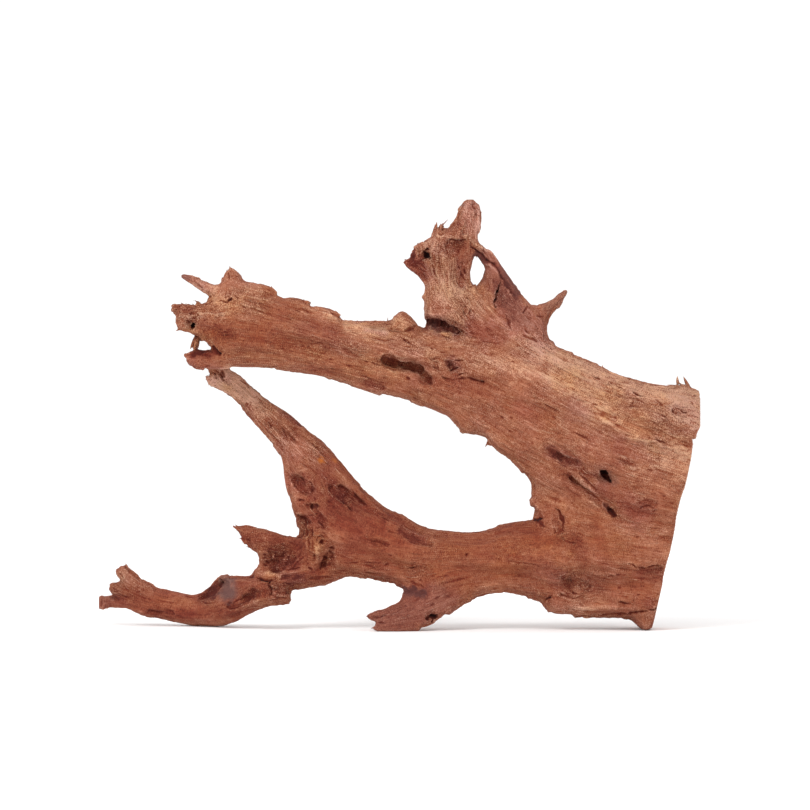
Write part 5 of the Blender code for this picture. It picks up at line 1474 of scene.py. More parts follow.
def markSawnFace(skin):
    draw = np.random.default_rng(checkValues["seed"])
    for n in range(checkValues["count"]):
        angle = 2 * math.pi * (n + draw.uniform(-0.45, 0.45)) / checkValues["count"]
        inner, outer = draw.uniform(*checkValues["inner"]), draw.uniform(*checkValues["outer"])
        away = np.arange(inner, outer, 1.0)
        y = sawValues["pithDepth"] + away * math.cos(angle)
        rise = away * math.sin(angle) / sawValues["flatness"] * checkValues["rise"]
        z = sawValues["pithHeight"] + rise
        y = y + np.cumsum(draw.normal(0, checkValues["drift"], len(away)))
        path = np.column_stack([sawnAcross(z, checkValues["across"]), y, z])
        carveDrawn(skin, path, draw, checkValues)


def roughen(skin, jitter, sawn, fibre, rib, check, streak, broad):
    # ribs, fibres and drying cracks, in mm outward, and how strong they are at each point
    onFloor = smoothStep(*bodyValues["floorFlat"], skin.points[:, 2])
    onFloor = onFloor * smoothStep(0.3, 0.8, -skin.outward[:, 2])
    rough = (1 - sawn) * (1 - onFloor)
    layNap(skin, jitter, -1, frontNaps)
    layNap(skin, jitter, 1, backNaps)
    for side, hollows in ((-1, frontHollows), (1, backHollows)):
        naps = [(line, width, bodyValues["hollowNap"]) for line, width, _, _ in hollows]
        layNap(skin, jitter, side, naps)
    skin.nap += cloud(skin.points, "nap")
    added, least, most = bodyValues["napGain"]
    gain = np.clip(1 + added * skin.nap, least, most)
    slit = smoothStep(1.5, 2.3, -check) * smoothStep(-0.3, 0.8, cloud(skin.points, "gate"))
    skin.push += bodyValues["swelling"]
    skin.push += rough * (
        bodyValues["broadRelief"] * (broad * 0.6 + streak * 0.3)
        + bodyValues["ribRelief"] * rib * 0.6 * (0.4 + 0.6 * gain)
        + bodyValues["fibreRelief"] * fibre * gain
        + bodyValues["crumbRelief"] * cloud(skin.points, "crumb") * gain
        - bodyValues["checkDepth"] * slit
    )
    # painted shade inside the drying cracks
    skin.dark = 0.6 * slit * rough
    return gain


def sawEnd(skin, jitter, sawn):
    # saw marks cross the cut at a slant
    upward, backward, shaken = sawValues["teeth"]
    teeth = np.sin(skin.points[:, 2] * upward + skin.points[:, 1] * backward + shaken * jitter)
    flat = skin.push * sawValues["reliefKept"] + bodyValues["sawMarks"] * teeth
    skin.push = np.where(sawn > 0.5, flat, skin.push)
    skin.dark *= 1 - sawValues["darkLost"] * sawn
    markSawnFace(skin)


def movedSkin(skin, jitter, sawn):
    # the skin's points once pushed; nothing stands out beyond the saw cut or the CAD box
    moved = skin.points + skin.outward * skin.push[:, None]
    inset = np.interp(skin.down, *zip(*sawEdge))
    moved[:, 0] -= smoothStep(*sawValues["edgeReach"], outsideSaw(skin.points)) * inset
    least, uneven = sawValues["edgeWear"]
    worn = least + uneven * np.abs(jitter) + np.abs(cloud(skin.points, "worn"))
    shoulderZ, shoulderX, shoulderRise = sawValues["shoulder"]
    worst = np.minimum(shoulderX + (moved[:, 2] - shoulderZ) * shoulderRise, sawValues["uprightAt"])
    moved[:, 0] = np.minimum(moved[:, 0], sawnAcross(moved[:, 2], worst) - worn * (1 - sawn))
    return np.clip(moved, boxLow, boxHigh)


def findHollows(skin, moved, outward):
    # above 0 in hollows and below 0 on proud edges, read off the finished form; the material paints
    # hollows darker by it, painted shade, and proud edges paler, a painted highlight
    near = ((skin.ring.smooth(moved, 4) - moved) * outward).sum(axis=1)
    wide = ((skin.ring.smooth(moved, 36) - moved) * outward).sum(axis=1)
    near, wide = near / bodyValues["nearHollow"], wide / bodyValues["wideHollow"]
    return np.clip(near * 0.5 + wide * 0.6, -1, 1)


def findStains(skin, jitter):
    away = np.full(skin.count, 9.0)
    for across, down, radius in stains:
        gap = np.hypot(skin.across - across, skin.down - down) / radius
        away = np.minimum(away, gap + 0.3 * jitter)
    return smoothStep(1.1, 0.5, away) * (skin.outward[:, 1] < 0)


def dressBody():
    body = fineCopy(frame["nodes"]["driftwood"], "driftwoodBody")
    print("skin:", len(body.data.vertices), "points")
    skin = Skin(body)
    field = GrainField(skin.points, grainValues["cell"])
    grain = field.at(skin.points)
    print("grain laid")

    fibre, rib, check = alongGrain(skin.points, field, *grainValues["fine"])
    streak, broad = alongGrain(skin.points, field, *grainValues["wide"])
    jitter = cloud(skin.points, "jitter")
    sawn = smoothStep(*sawValues["skinDepth"], outsideSaw(skin.points))
    sawn = sawn * smoothStep(*sawValues["facing"], skin.outward[:, 0])
    print("relief drawn")

    gain = roughen(skin, jitter, sawn, fibre, rib, check, streak, broad)
    thinParts(skin)
    markSide(skin, jitter, -1, frontMarks, frontHollows, frontRidges, frontTones)
    markSide(skin, jitter, 1, backMarks, backHollows, backRidges, backTones)
    markElsewhere(skin, field)
    sawEnd(skin, jitter, sawn)
    skin.rose += cloud(skin.points, "rose")
    print("marks carved")

    moved = movedSkin(skin, jitter, sawn)
    setPositions(skin.mesh, moved)
    outward = vectorsOf(skin.mesh.vertex_normals, "vector")
    values = {
        "streak": streak,
        "broad": broad,
        "rib": rib,
        # painted light: read to make faces that look down paler and faces that look up darker
        "facingUp": outward[:, 2],
        "patch": cloud(skin.points, "patch"),
        # painted shade in hollows and a painted highlight on proud edges
        "hollow": findHollows(skin, moved, outward),
        "dark": skin.dark,
        "tan": skin.tan,
        "grey": skin.grey,
        "rose": skin.rose,
        "nap": gain,
        "stain": findStains(skin, jitter),
        "sawn": sawn,
        "grain": grain,
    }
    for name, value in values.items():
        writeValue(skin.mesh, name, value)
    wood = weatheredWood()
    raiseSlivers(moved, outward, values, wood)
    layStrands(field, moved, outward, values, wood)

    spareMarks(body, skin, outward)
    faces = sum(len(face.vertices) - 2 for face in skin.mesh.polygons)
    applyModifier(body, "DECIMATE", ratio=bodyValues["triangles"] / faces, vertex_group="plain",
                  vertex_group_factor=bodyValues["sparing"], use_collapse_triangulate=True)
    bpy.ops.object.shade_smooth()
    body.data.materials.clear()
    body.data.materials.append(wood)
    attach(body, "root")
    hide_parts("driftwood")
    thinned = vectorsOf(body.data.vertices, "co") / mm
    setPositions(body.data, np.clip(thinned, boxLow, boxHigh))
    print("body:", len(body.data.polygons), "triangles")


def spareMarks(body, skin, outward):
    # plain wood is decimated more than what is marked, above all on the front
    look = np.column_stack([skin.dark, skin.tan * 0.6, skin.dark])
    edge = np.abs(look - skin.ring.smooth(look, 4)).sum(axis=1)
    front = smoothStep(-0.2, 0.4, -outward[:, 1])
    plain = 1 - np.clip(edge * 3.5 * (0.3 + 0.7 * front) + 0.2 * front, 0, 1)
    steps = np.round(plain * 10).astype(int)
    group = body.vertex_groups.new(name="plain")
    for step in range(1, 11):
        group.add(np.flatnonzero(steps == step).tolist(), step / 10, "REPLACE")


sliverValues = {
    "seed": 5,
    "count": 5000,
    "length": (1.3, 4.4),     # mm
    "girth": (0.11, 0.26),    # mm, half its width at the base
    "rise": (0.02, 0.22),     # how steeply it leaves the surface
    "lengthKept": (0.5, 1.0),    # shares of the length and the rise that a sliver keeps
    "riseKept": (0.2, 1.0),
    "bow": 0.05,              # how much it bends away from the surface
    "nap": (0.3, 2.0),        # the least and the most that nap counts for where slivers start
    "keenness": 1.5,          # how much more of them rough wood has
    "darkest": 0.5,
    "lowest": 2.5,            # mm
    "turn": 0.16,             # how far they stray from the grain, in radians
    "curl": 0.10,
    "rootedAt": 0.15,         # share of its length that lies behind its root
    "sunk": 0.22,             # mm, how deep its base is
    "paler": (-0.05, 0.45),
    "steps": [(0.35, 0.85), (0.35, 0.65), (0.30, 0.15)],    # climb, and how much it then narrows
}

strandValues = {
    "seed": 9,
    "count": 1700,
    "length": (4.0, 13.0),    # mm
    "girth": (0.13, 0.30),    # mm, half its width in the middle
    "nap": (0.3, 2.2),
    "keenness": 2.0,
    "darkest": 0.4,
    "lowest": 3.5,            # mm
    "drift": 0.14,
    "sunk": 0.16,             # mm
    "arch": 0.24,             # mm
    "lift": (-0.05, 0.9),     # how far the loose end lifts, cubed so that most lie low
    "liftHeight": 1.4,        # mm
    "paler": (-0.15, 0.42),
    "profile": (0.35, 0.8, 1.0, 1.0, 0.9, 0.75, 0.5, 0.15),     # its width at each ring of corners
}

fibreValues = {
    "flatness": 0.8,          # a fibre's thickness for its width
    "onSaw": 0.05,            # fibres start only where the wood is sawn less than this
    # the skin's dark and hollow values are painted shade
    "shadeKept": 0.2,         # how much of the skin's dark, hollows and stains a fibre takes on
    "splinterBend": 0.05,
    "splinterPaler": (-0.1, 0.2),
}

# Longer splinters: base and tip (across, down, depth), half width at the base in mm
splinters = [
    # the sawn end's top corner
    ((676, 389, -7), (678.4, 382, -8), 1.3),
    ((678.4, 384, -8), (677.4, 375.5, -8), 1.3),
    ((686, 387, -7), (679, 381.8, -9), 0.9),
    ((690, 390, -7), (683.4, 376, -9), 1.7),
    ((683, 388, -8), (687, 383.5, -9), 0.6),
    ((694, 396, -12), (701, 393, -13), 0.9),
    ((694, 400, -15), (700, 398.5, -16), 0.7),
    ((660, 389, -8), (655, 383.5, -9), 0.4),
    ((668, 389, -6), (661, 384, -7), 0.4),
    ((650, 387, -8), (645, 383.5, -8), 0.4),
    ((600, 370, -8), (603, 364.5, -8), 0.9),
    # spur
    ((435, 234, -9), (436.8, 221.5, -10), 1.6),
    ((434.5, 232, -9), (436, 223.5, -9), 1.5),
    ((438.5, 234, -9), (443, 222.5, -10), 1.8),
    ((438, 233, -9), (441, 223, -9), 1.5),
    ((441, 229, -9), (444, 225, -9), 1.2),
    ((441.5, 226, -10), (448.5, 218.5, -11), 0.45),
    ((438, 232, -8), (440.5, 227, -7), 0.7),
    ((412, 262, -14), (404, 258.5, -15), 0.8),
    ((418, 247, -13), (418, 242, -14), 0.9),
    # upper limb
    ((386, 325, -15), (388, 316, -16), 0.45),
    ((388, 324, -15), (383, 320, -15), 0.4),
    ((272, 292, -25), (271.5, 285.5, -25), 1.0),
    ((296, 303, -24), (297.5, 297.5, -24), 0.8),
    ((305, 304, -24), (304, 298.5, -24), 1.1),
    ((360, 324, -17), (357, 319.5, -17), 0.6),
    ((366, 324, -17), (369, 320, -17), 0.6),
    # head
    ((231, 274, -25), (230, 265.5, -25), 1.2),
    ((228, 277, -25), (227, 269, -26), 0.8),
    ((186, 308, -30), (181, 302, -31), 1.0),
    ((196, 308, -29), (192.5, 303, -29), 0.7),
    ((200, 308, -28), (200, 303, -28), 0.7),
    ((182, 327, -31), (176, 330.5, -32), 0.9),
    ((182, 322, -31), (177.5, 325, -32), 0.7),
    ((197.5, 336, -28), (190.5, 348.5, -28), 1.9),
    ((198.5, 336, -28), (194.3, 351.5, -28), 2.0),
    ((198.8, 337, -28), (198.6, 347.5, -28), 1.5),
    # arm
    ((214, 377, 8), (205, 376, 9), 1.3),
    ((214, 380, 8), (205.3, 378.6, 8), 1.2),
    ((214, 372, 8), (208.2, 371.3, 9), 1.4),
    # prong
    ((250, 541, -2), (239, 537.5, -2), 1.2),
    ((252, 545, -3), (242, 541.5, -3), 1.0),
    ((254, 548, -3), (246, 546, -3), 0.8),
    ((240, 530, -1), (235, 524, -1), 1.0),
    # root
    ((127, 571, 25), (125, 563, 25), 1.1),
    ((122, 575, 26), (115, 569.5, 26), 1.2),
    ((116, 588, 33), (110, 583, 33), 1.1),
    ((106, 600, 42), (97, 597, 43), 1.8),
    ((106, 604, 42), (96.5, 603, 43), 2.4),
    ((107, 606, 42), (96.5, 606.5, 43), 1.8),
    ((206, 596, 18), (204, 590, 17), 0.6),
    ((284, 594, -13), (291, 594, -13), 1.2),
    ((284, 600, -13), (291, 598.5, -13), 0.9),
    ((284, 602, -13), (290, 603.5, -13), 0.8),
    # foot and trunk
    ((376, 616, -30), (366, 615.5, -31), 1.2),
    ((380, 626, -31), (371, 627.5, -32), 1.2),
    ((490, 440, -12), (485, 446.5, -13), 0.9),
    ((628, 469, -34), (617, 471, -37), 0.5),
]


def fromLowest(corners):
    first = corners.index(min(corners))
    return corners[first:] + corners[:first]


def modelShaft(steps):
    # a square shaft that stands on a ring of radius 1, to be copied: each step climbs, then narrows
    bpy.ops.object.select_all(action="DESELECT")
    bpy.ops.mesh.primitive_circle_add(vertices=4, radius=1.0, fill_type="NGON", location=(0, 0, 0))
    shaft = bpy.context.active_object
    bpy.ops.object.mode_set(mode="EDIT")
    bpy.ops.mesh.select_all(action="SELECT")
    height = 0.0
    for climb, narrowing in steps:
        height += climb
        bpy.ops.mesh.extrude_region_move(TRANSFORM_OT_translate={"value": (0, 0, climb)})
        if narrowing != 1.0:
            bpy.ops.transform.resize(
                value=(narrowing, narrowing, 1.0), center_override=(0, 0, height))
    bpy.ops.mesh.select_all(action="SELECT")
    bpy.ops.mesh.normals_make_consistent(inside=False)
    bpy.ops.object.mode_set(mode="OBJECT")
    corners = vectorsOf(shaft.data.vertices, "co")
    # Blender extrudes faces in no fixed order, so they are sorted to come out the same each run
    faces = sorted(fromLowest(tuple(face.vertices)) for face in shaft.data.polygons)
    bpy.data.objects.remove(shaft)
    return corners, faces


def chooseRoots(draw, kind, points, values):
    chance = (
        np.clip(values["nap"], *kind["nap"]) ** kind["keenness"]
        * (values["dark"] < kind["darkest"]) * (values["sawn"] < fibreValues["onSaw"])
        * (points[:, 2] > kind["lowest"])
    )
    return draw.choice(len(points), kind["count"], p=chance / chance.sum())


def alongSkin(way, up):
    # what is left of a direction once it lies in the skin
    return unit(way - up * (way * up).sum(axis=1)[:, None], 1e-6)


def layStrands(field, points, outward, values, wood):
    # long fibres that lie along the grain and lift at one end
    rings, number = len(strandValues["profile"]), strandValues["count"]
    shape, faces = modelShaft([(1.0, 1.0)] * (rings - 1))
    draw = np.random.default_rng(strandValues["seed"])
    tree = KDTree(len(points))
    for index, point in enumerate(points):
        tree.insert(point, index)
    tree.balance()
    chosen = chooseRoots(draw, strandValues, points, values)
    length = draw.uniform(*strandValues["length"], number)
    girth = draw.uniform(*strandValues["girth"], number)
    way = draw.choice((-1.0, 1.0), number)
    lift = draw.uniform(*strandValues["lift"], number) ** 3 * strandValues["liftHeight"]
    drift = draw.normal(0, strandValues["drift"], number)
    walker, nearest = points[chosen].copy(), chosen.copy()
    centres, sides, ups = [], [], []
    for ring in range(rings):
        up = outward[nearest]
        along = alongSkin(field.at(walker) * way[:, None], up)
        side = np.cross(up, along)
        share = ring / (rings - 1)
        arch = strandValues["arch"] * math.sin(math.pi * min(share * 1.4, 1.0))
        rise = -strandValues["sunk"] + arch + lift * share**3
        centres.append(walker + up * rise[:, None])
        sides.append(side)
        ups.append(up)
        walker = walker + (along + side * drift[:, None]) * (length / (rings - 1))[:, None]
        nearest = np.array([tree.find(spot)[1] for spot in walker])
        gap = ((walker - points[nearest]) * outward[nearest]).sum(axis=1)
        walker = walker - outward[nearest] * gap[:, None]
    centres, sides, ups = (np.stack(part, axis=1) for part in (centres, sides, ups))
    ring = np.round(shape[:, 2]).astype(int)
    thick = np.array(strandValues["profile"])[ring]
    wide, high = shape[:, 0] * thick, shape[:, 1] * thick * fibreValues["flatness"]
    made = (centres[:, ring] + sides[:, ring] * wide[None, :, None] * girth[:, None, None]
            + ups[:, ring] * high[None, :, None] * girth[:, None, None])
    source = np.repeat(chosen, len(shape))
    paler = np.repeat(draw.uniform(*strandValues["paler"], number), len(shape))
    buildFibres("longFibres", made.reshape(-1, 3), len(shape), faces, source, paler, values, wood)


def raiseSlivers(points, outward, values, wood):
    # thin slivers that stand a little proud of the surface, and the longer splinters
    shape, faces = modelShaft(sliverValues["steps"])
    draw = np.random.default_rng(sliverValues["seed"])
    number = sliverValues["count"]
    chosen = chooseRoots(draw, sliverValues, points, values)
    nap, root, up = values["nap"][chosen], points[chosen], outward[chosen]
    along = alongSkin(values["grain"][chosen] * draw.choice((-1.0, 1.0), number)[:, None], up)
    side = np.cross(up, along)
    turn = draw.normal(0, sliverValues["turn"], number) * nap
    along, side = (along * np.cos(turn)[:, None] + side * np.sin(turn)[:, None],
                   side * np.cos(turn)[:, None] - along * np.sin(turn)[:, None])
    length, lengthKept, girth, rise, riseKept = (
        draw.uniform(*sliverValues[name], number)
        for name in ("length", "lengthKept", "girth", "rise", "riseKept")
    )
    length, rise = length * lengthKept, rise * riseKept * nap
    curl = draw.normal(0, sliverValues["curl"], number)
    u = shape[:, 2]
    bow = u**2 * (sliverValues["bow"] * length)[:, None]
    climb = -sliverValues["sunk"] + u * (rise * length)[:, None] + bow
    forward = (u - sliverValues["rootedAt"]) * length[:, None]
    sideways = shape[:, 0] * girth[:, None] + u**2 * (curl * length)[:, None]
    upward = shape[:, 1] * girth[:, None] + climb
    made = (
        root[:, None, :] + along[:, None, :] * forward[..., None]
        + side[:, None, :] * sideways[..., None] + up[:, None, :] * upward[..., None]
    )
    pointsMade = [made.reshape(-1, 3)]
    source = [np.repeat(chosen, len(shape))]
    paler = [np.repeat(draw.uniform(*sliverValues["paler"], number), len(shape))]

    for base, tip, thick in splinters:
        start, end = placedFromFront(*base), placedFromFront(*tip)
        run = end - start
        far = np.linalg.norm(run)
        along = run / far
        side = np.cross(along, (0.0, 1.0, 0.0))
        side /= np.linalg.norm(side)
        up = np.cross(side, along)
        bend = draw.normal(0, fibreValues["splinterBend"], 2) * far * np.sin(math.pi * u)[:, None]
        pointsMade.append(
            start + np.outer(u * far, along) + np.outer(shape[:, 0] * thick + bend[:, 0], side)
            + np.outer(shape[:, 1] * thick * fibreValues["flatness"] + bend[:, 1], up)
        )
        nearest = ((points - start) ** 2).sum(axis=1).argmin()
        source.append(np.full(len(shape), nearest))
        paler.append(np.full(len(shape), draw.uniform(*fibreValues["splinterPaler"])))

    pointsMade, source, paler = (np.concatenate(part) for part in (pointsMade, source, paler))
    buildFibres("raisedFibres", pointsMade, len(shape), faces, source, paler, values, wood)


def buildFibres(name, pointsMade, corners, faces, source, paler, values, wood):
    # one mesh of many copies, each coloured as the skin it stands on
    copies = len(pointsMade) // corners
    mesh = bpy.data.meshes.new(name)
    mesh.from_pydata((np.clip(pointsMade, boxLow, boxHigh) * mm).tolist(), [], [
        tuple(index + copy * corners for index in face) for copy in range(copies) for face in faces
    ])
    for kind, value in values.items():
        copied = value[source]
        if kind == "tan":
            copied = copied + paler
        if kind in ("dark", "hollow", "sawn", "stain"):
            copied = copied * fibreValues["shadeKept"]
        writeValue(mesh, kind, copied)
    piece = bpy.data.objects.new(name, mesh)
    bpy.context.scene.collection.objects.link(piece)
    mesh.materials.append(wood)
    selectOnly(piece)
    bpy.ops.object.shade_smooth()
    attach(piece, "root")
    print(name + ":", copies)


def linear(red, green, blue):
    # a colour as a screen shows it, 0 to 255, turned into light
    def one(value):
        value /= 255
        return value / 12.92 if value <= 0.04045 else ((value + 0.055) / 1.055) ** 2.4
    return (one(red), one(green), one(blue), 1.0)


class Wire:
    # one output socket; sums on wires add Math nodes
    def __init__(self, bench, socket):
        self.bench = bench
        self.socket = socket

    def maths(self, operation, *values, clamp=False):
        settings = {"operation": operation, "use_clamp": clamp}
        return self.bench.node("ShaderNodeMath", settings, dict(enumerate(values)))

    def __add__(self, other):
        return self.maths("ADD", self, other)

    def __radd__(self, other):
        return self.maths("ADD", other, self)

    def __sub__(self, other):
        return self.maths("SUBTRACT", self, other)

    def __rsub__(self, other):
        return self.maths("SUBTRACT", other, self)

    def __mul__(self, other):
        return self.maths("MULTIPLY", self, other)

    def size(self):
        return self.maths("ABSOLUTE", self)

    def held(self):
        return self.maths("ADD", self, 0.0, clamp=True)


class Bench:
    # a material under way
    def __init__(self, name):
        self.material = bpy.data.materials.new(name)
        self.material.use_nodes = True
        self.tree = self.material.node_tree
        self.tree.nodes.clear()

    def node(self, kind, settings=None, sockets=None, out=0):
        made = self.tree.nodes.new(kind)
        for name, value in (settings or {}).items():
            if name == "stops":
                ramp = made.color_ramp
                while len(ramp.elements) < len(value):
                    ramp.elements.new(0.5)
                for element, (position, colour) in zip(ramp.elements, value):
                    element.position = position
                    element.color = colour
            else:
                setattr(made, name, value)
        for name, value in (sockets or {}).items():
            if isinstance(value, Wire):
                self.tree.links.new(value.socket, made.inputs[name])
            else:
                made.inputs[name].default_value = value
        return Wire(self, made.outputs[out]) if made.outputs else None

    def attribute(self, name, out="Fac"):
        return self.node("ShaderNodeAttribute", {"attribute_name": name}, out=out)

    def between(self, value, low, high):
        # 0 below low and 1 above high, eased
        return self.node("ShaderNodeMapRange", {"interpolation_type": "SMOOTHSTEP"},
                         {"Value": value, "From Min": low, "From Max": high})

    def mix(self, share, first, second, blend="MIX"):
        settings = {"data_type": "RGBA", "blend_type": blend, "clamp_factor": True}
        return self.node("ShaderNodeMix", settings, {0: share, 6: first, 7: second}, out=2)

    def noise(self, spot, scale, detail, roughness):
        return self.node("ShaderNodeTexNoise", {"noise_dimensions": "3D"},
                         {"Vector": spot, "Scale": scale, "Detail": detail, "Roughness": roughness})

    def vector(self, operation, first, second=(0.0, 0.0, 0.0), out=0):
        return self.node("ShaderNodeVectorMath", {"operation": operation},
                         {0: first, 1: second}, out=out)

    def scaled(self, vector, size):
        return self.node("ShaderNodeVectorMath", {"operation": "SCALE"}, {0: vector, "Scale": size})

    def surface(self, sockets):
        shader = self.node("ShaderNodeBsdfPrincipled", None, sockets)
        self.node("ShaderNodeOutputMaterial", None, {"Surface": shader})
        return self.material


woodValues = {
    # noises smeared along the grain: width and length in mm, and how many samples
    "fine": (0.9, 12.0, 9),
    "lint": (0.55, 4.2, 5),
    "seam": (1.9, 15.0, 7),
    "nick": (0.85, 2.8, 4),
    # noises with no direction: cells per metre, detail and roughness
    "pores": (900.0, 2.0, 0.6),
    "mottle": (260.0, 3.0, 0.6),
    "wobble": (45.0, 2.0, 0.5),
    # where each detail starts to show and shows in full
    "threadShows": (0.62, 0.95),
    "hairShows": (0.72, 1.05),
    "speckShows": (0.63, 0.72),
    "seamShows": (0.075, 0.015),
    "nickShows": (1.05, 1.45),
    "deepShows": (0.4, 1.0),
    "blackShows": (0.86, 0.98),
    # the colours from the darkest tone to the palest
    "stops": [
        (0.02, linear(95, 29, 16)),
        (0.26, linear(126, 54, 33)),
        (0.50, linear(149, 83, 56)),
        (0.72, linear(177, 115, 87)),
        (0.98, linear(223, 171, 140)),
    ],
    # painted shade: deep fills dark marks, hollows and cracks, black the holes
    "deep": linear(95, 29, 16),
    "black": linear(38, 12, 8),
    "grey": linear(104, 84, 80),
    "orange": linear(214, 120, 48),
    "roseCast": (0.99, 0.93, 1.10, 1.0),     # multiplies the colour where rose is 1
    "orangeCast": (1.05, 1.01, 0.80, 1.0),   # and where it is -1
    # painted shade: a warmer, darker cast deep in a hollow
    "hollowShadeCast": (1.05, 0.93, 0.84, 1.0),   # and deep in a hollow
}

# How much each thing makes the wood paler or darker, 0 to 1. The facing term paints faces that
# look down paler and those that look up darker, painted light; hollow and dark are painted shade.
toneValues = {
    "plain": 0.578, "streak": 0.012, "broad": 0.012, "patch": 0.03, "rib": 0.02,
    "fine": 0.215, "lint": 0.32, "pores": 0.53, "mottle": 0.34, "tan": 0.77,
    "facingUp": -0.03, "hollow": 0.07, "hair": 0.3, "thread": 0.32, "speck": 0.19,
    "seam": 0.26, "nick": 0.45, "dark": 0.34,
}

# How far each stands up or sinks in the bumps
bumpValues = {
    "fine": 0.5, "lint": 0.9, "pores": 0.6, "mottle": 0.7, "hair": 0.4, "thread": 0.7,
    "speck": 0.4, "seam": 0.5, "nick": 0.9, "strength": 0.8, "distance": 0.0009,
}


def fibres(bench, spot, grain, width, length, steps):
    # noise smeared along the grain: the mean of samples a little way apart
    total = None
    for n in range(steps):
        shift = (n / (steps - 1) - 0.5) * length * mm
        place = bench.vector("ADD", spot, bench.scaled(grain, shift))
        sample = bench.noise(place, 1 / (width * mm), 1.0, 0.5)
        total = sample if total is None else total + sample
    return (total - steps * 0.5) * (2.6 / math.sqrt(steps))


def endGrain(bench, spot, sawn):
    # faint growth rings on the saw cut
    pith = (0.0, sawValues["pithDepth"] * mm, sawValues["pithHeight"] * mm)
    middle = bench.vector("SUBTRACT", spot, pith)
    middle = bench.vector("MULTIPLY", middle, (0.0, 1.0, sawValues["flatness"]))
    away = bench.vector("LENGTH", middle, out="Value")
    wobble = bench.noise(spot, *woodValues["wobble"])
    ring = (away * (2 * math.pi / (sawValues["ringWidth"] * mm)) + wobble * 6.0).maths("SINE")
    return sawn * (ring * 0.2 + (wobble - 0.5) * 0.5 - 0.02)


def weatheredWood():
    bench, look, tones, bumps = Bench("weatheredWood"), woodValues, toneValues, bumpValues
    spot = bench.node("ShaderNodeTexCoord", out="Object")
    grain = bench.attribute("grain", out="Vector")
    streak, broad, rib, patch, facingUp, hollow, dark, tan, grey, rose, nap, stain, sawn = (
        bench.attribute(name) for name in (
            "streak", "broad", "rib", "patch", "facingUp", "hollow", "dark", "tan", "grey", "rose",
            "nap", "stain", "sawn",
        )
    )
    nap = nap * (sawn * -0.6 + 1.0)

    fine = fibres(bench, spot, grain, *look["fine"])
    lint = fibres(bench, spot, grain, *look["lint"])
    pores = bench.noise(spot, *look["pores"])
    mottle = bench.noise(spot, *look["mottle"])

    # the darkest fibres open as short dark threads, and the palest lie on top as lint
    thread = bench.between(fine * -1.0 - rib * 0.08 - lint * 0.5, *look["threadShows"])
    hair = bench.between(lint + fine * 0.6, *look["hairShows"])
    speck = bench.between(pores, *look["speckShows"])
    # fibres part along thin seams, and short nicks pit the rough places
    seam = bench.between(fibres(bench, spot, grain, *look["seam"]).size(), *look["seamShows"])
    nick = bench.between(fibres(bench, spot, grain, *look["nick"]) + nap * 0.35, *look["nickShows"])
    ends = endGrain(bench, spot, sawn)

    tone = (
        tones["plain"] + streak * tones["streak"] + broad * tones["broad"] + patch * tones["patch"]
        + rib * tones["rib"]
        + (fine * tones["fine"] + lint * tones["lint"] + (pores - 0.5) * tones["pores"]) * nap
        # painted light: faces that look down paler, faces that look up darker
        + (mottle - 0.5) * tones["mottle"] + tan * tones["tan"] + facingUp * tones["facingUp"]
        # painted shade in hollows and a painted highlight on proud edges
        - hollow * tones["hollow"] + hair * nap * tones["hair"] - thread * tones["thread"]
        - speck * tones["speck"] - seam * tones["seam"] - nick * tones["nick"] + ends
        # painted shade in cracks, hollows and holes
        - dark * tones["dark"]
    )
    colour = bench.node("ShaderNodeValToRGB", {"stops": look["stops"]}, {"Fac": tone})
    colour = bench.mix(rose.held(), colour, look["roseCast"], "MULTIPLY")
    colour = bench.mix((rose * -1.0).held(), colour, look["orangeCast"], "MULTIPLY")
    # painted shade: a warmer, darker cast deep in a hollow
    colour = bench.mix(hollow.held() * 0.8, colour, look["hollowShadeCast"], "MULTIPLY")
    colour = bench.mix(grey * 0.8, colour, look["grey"])
    # painted shade: marks, hollows and cracks turn deep brown, holes black
    colour = bench.mix(bench.between(dark, *look["deepShows"]) * 0.8, colour, look["deep"])
    colour = bench.mix(bench.between(dark, *look["blackShows"]) * 0.9, colour, look["black"])
    colour = bench.mix(stain * 0.8, colour, look["orange"])

    height = (
        (fine * bumps["fine"] + lint * bumps["lint"] + (pores - 0.5) * bumps["pores"]) * nap
        + (mottle - 0.5) * bumps["mottle"] + hair * nap * bumps["hair"] - thread * bumps["thread"]
        - speck * bumps["speck"] - seam * bumps["seam"] - nick * bumps["nick"]
    )
    return bench.surface({
        "Base Color": colour,
        "Roughness": (0.86 - fine * 0.05 - sawn * 0.04).held(),
        "Specular IOR Level": 0.28,
        "Normal": bench.node("ShaderNodeBump", None, {
            "Strength": bumps["strength"], "Distance": bumps["distance"], "Height": height}),
    })


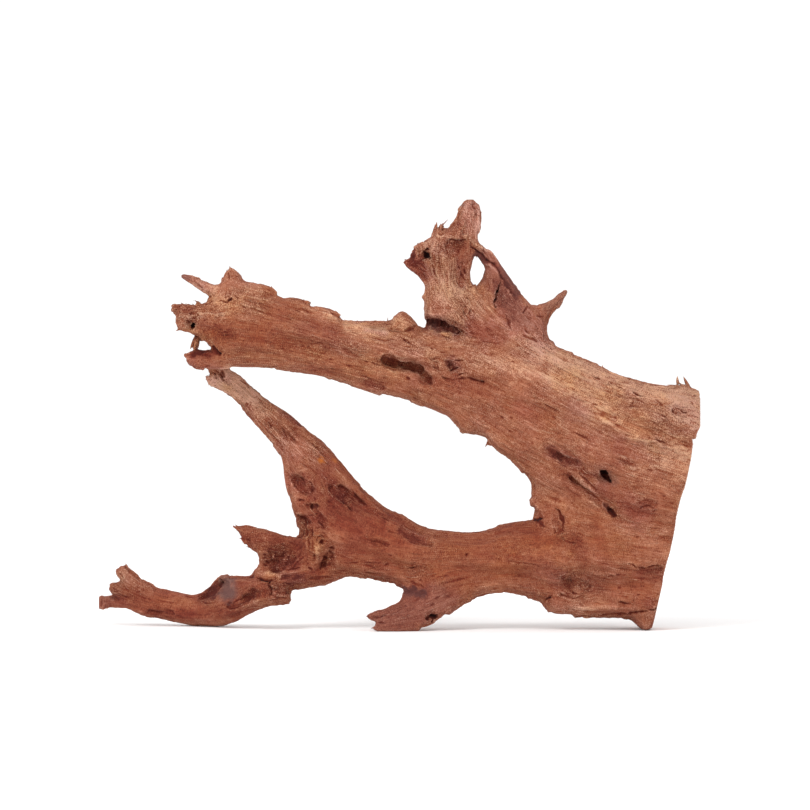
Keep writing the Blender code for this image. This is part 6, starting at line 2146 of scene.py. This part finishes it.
stageValues = {
    "floor": (0.94, 0.94, 0.94, 1.0),
    "floorRadius": 3.0,    # m
    "skyStrength": 1.08,
    # each lamp's place in m, its side in m and its power
    "keyLight": ((-0.9, -1.3, 1.7), 1.0, 26.0),
    "fillLight": ((1.4, -1.2, 0.9), 1.2, 6.0),
    "lightsAim": (0, 0, 0.14),
    "lens": 1200.0,        # mm
    "sensor": 36.0,        # mm
    "pictureWidth": 810,   # in steps
    "aimAcross": 405.0,    # the middle of the picture, in steps
    "aimDown": 404.4,
    "aimDepth": -7.0,      # mm
    "seesAsFar": 50.0,     # m
}


def layFloor():
    bpy.ops.object.select_all(action="DESELECT")
    bpy.ops.mesh.primitive_circle_add(
        vertices=96, radius=stageValues["floorRadius"], fill_type="NGON", location=(0, 0, 0))
    floor = bpy.context.active_object
    floor.name = "floor"
    paper = {"Base Color": stageValues["floor"], "Roughness": 0.9, "Specular IOR Level": 0.1}
    floor.data.materials.append(Bench("palePaper").surface(paper))


def softBox(name):
    place, side, power = stageValues[name]
    light = bpy.data.lights.new(name, "AREA")
    light.shape = "RECTANGLE"
    light.size = light.size_y = side
    light.energy = power
    lamp = bpy.data.objects.new(name, light)
    bpy.context.scene.collection.objects.link(lamp)
    lamp.location = place
    towards = Vector(stageValues["lightsAim"]) - Vector(place)
    lamp.rotation_euler = towards.to_track_quat("-Z", "Y").to_euler()


def setStage():
    layFloor()
    world = bpy.data.worlds.new("softSky")
    world.use_nodes = True
    sky = world.node_tree.nodes["Background"].inputs
    sky["Color"].default_value = (1.0, 1.0, 1.0, 1.0)
    sky["Strength"].default_value = stageValues["skyStrength"]
    bpy.context.scene.world = world
    softBox("keyLight")
    softBox("fillLight")

    camera = bpy.data.objects.new("camera", bpy.data.cameras.new("camera"))
    bpy.context.scene.collection.objects.link(camera)
    lens, sensor = stageValues["lens"], stageValues["sensor"]
    camera.data.lens = lens
    camera.data.sensor_width = sensor
    camera.data.clip_end = stageValues["seesAsFar"]
    dip = frontView["dip"]
    aim = (stageValues["aimAcross"], stageValues["aimDown"], stageValues["aimDepth"])
    reach = stageValues["pictureWidth"] * frontView["step"] * mm / 2 / (sensor / 2 / lens)
    away = Vector((0, -math.cos(dip), math.sin(dip))) * reach
    camera.location = Vector(placedFromFront(*aim) * mm) + away
    camera.rotation_euler = (math.pi / 2 - dip, 0, 0)
    bpy.context.scene.camera = camera
    bpy.context.scene.view_settings.view_transform = "Standard"
    bpy.context.scene.view_settings.look = "None"


dressBody()
setStage()
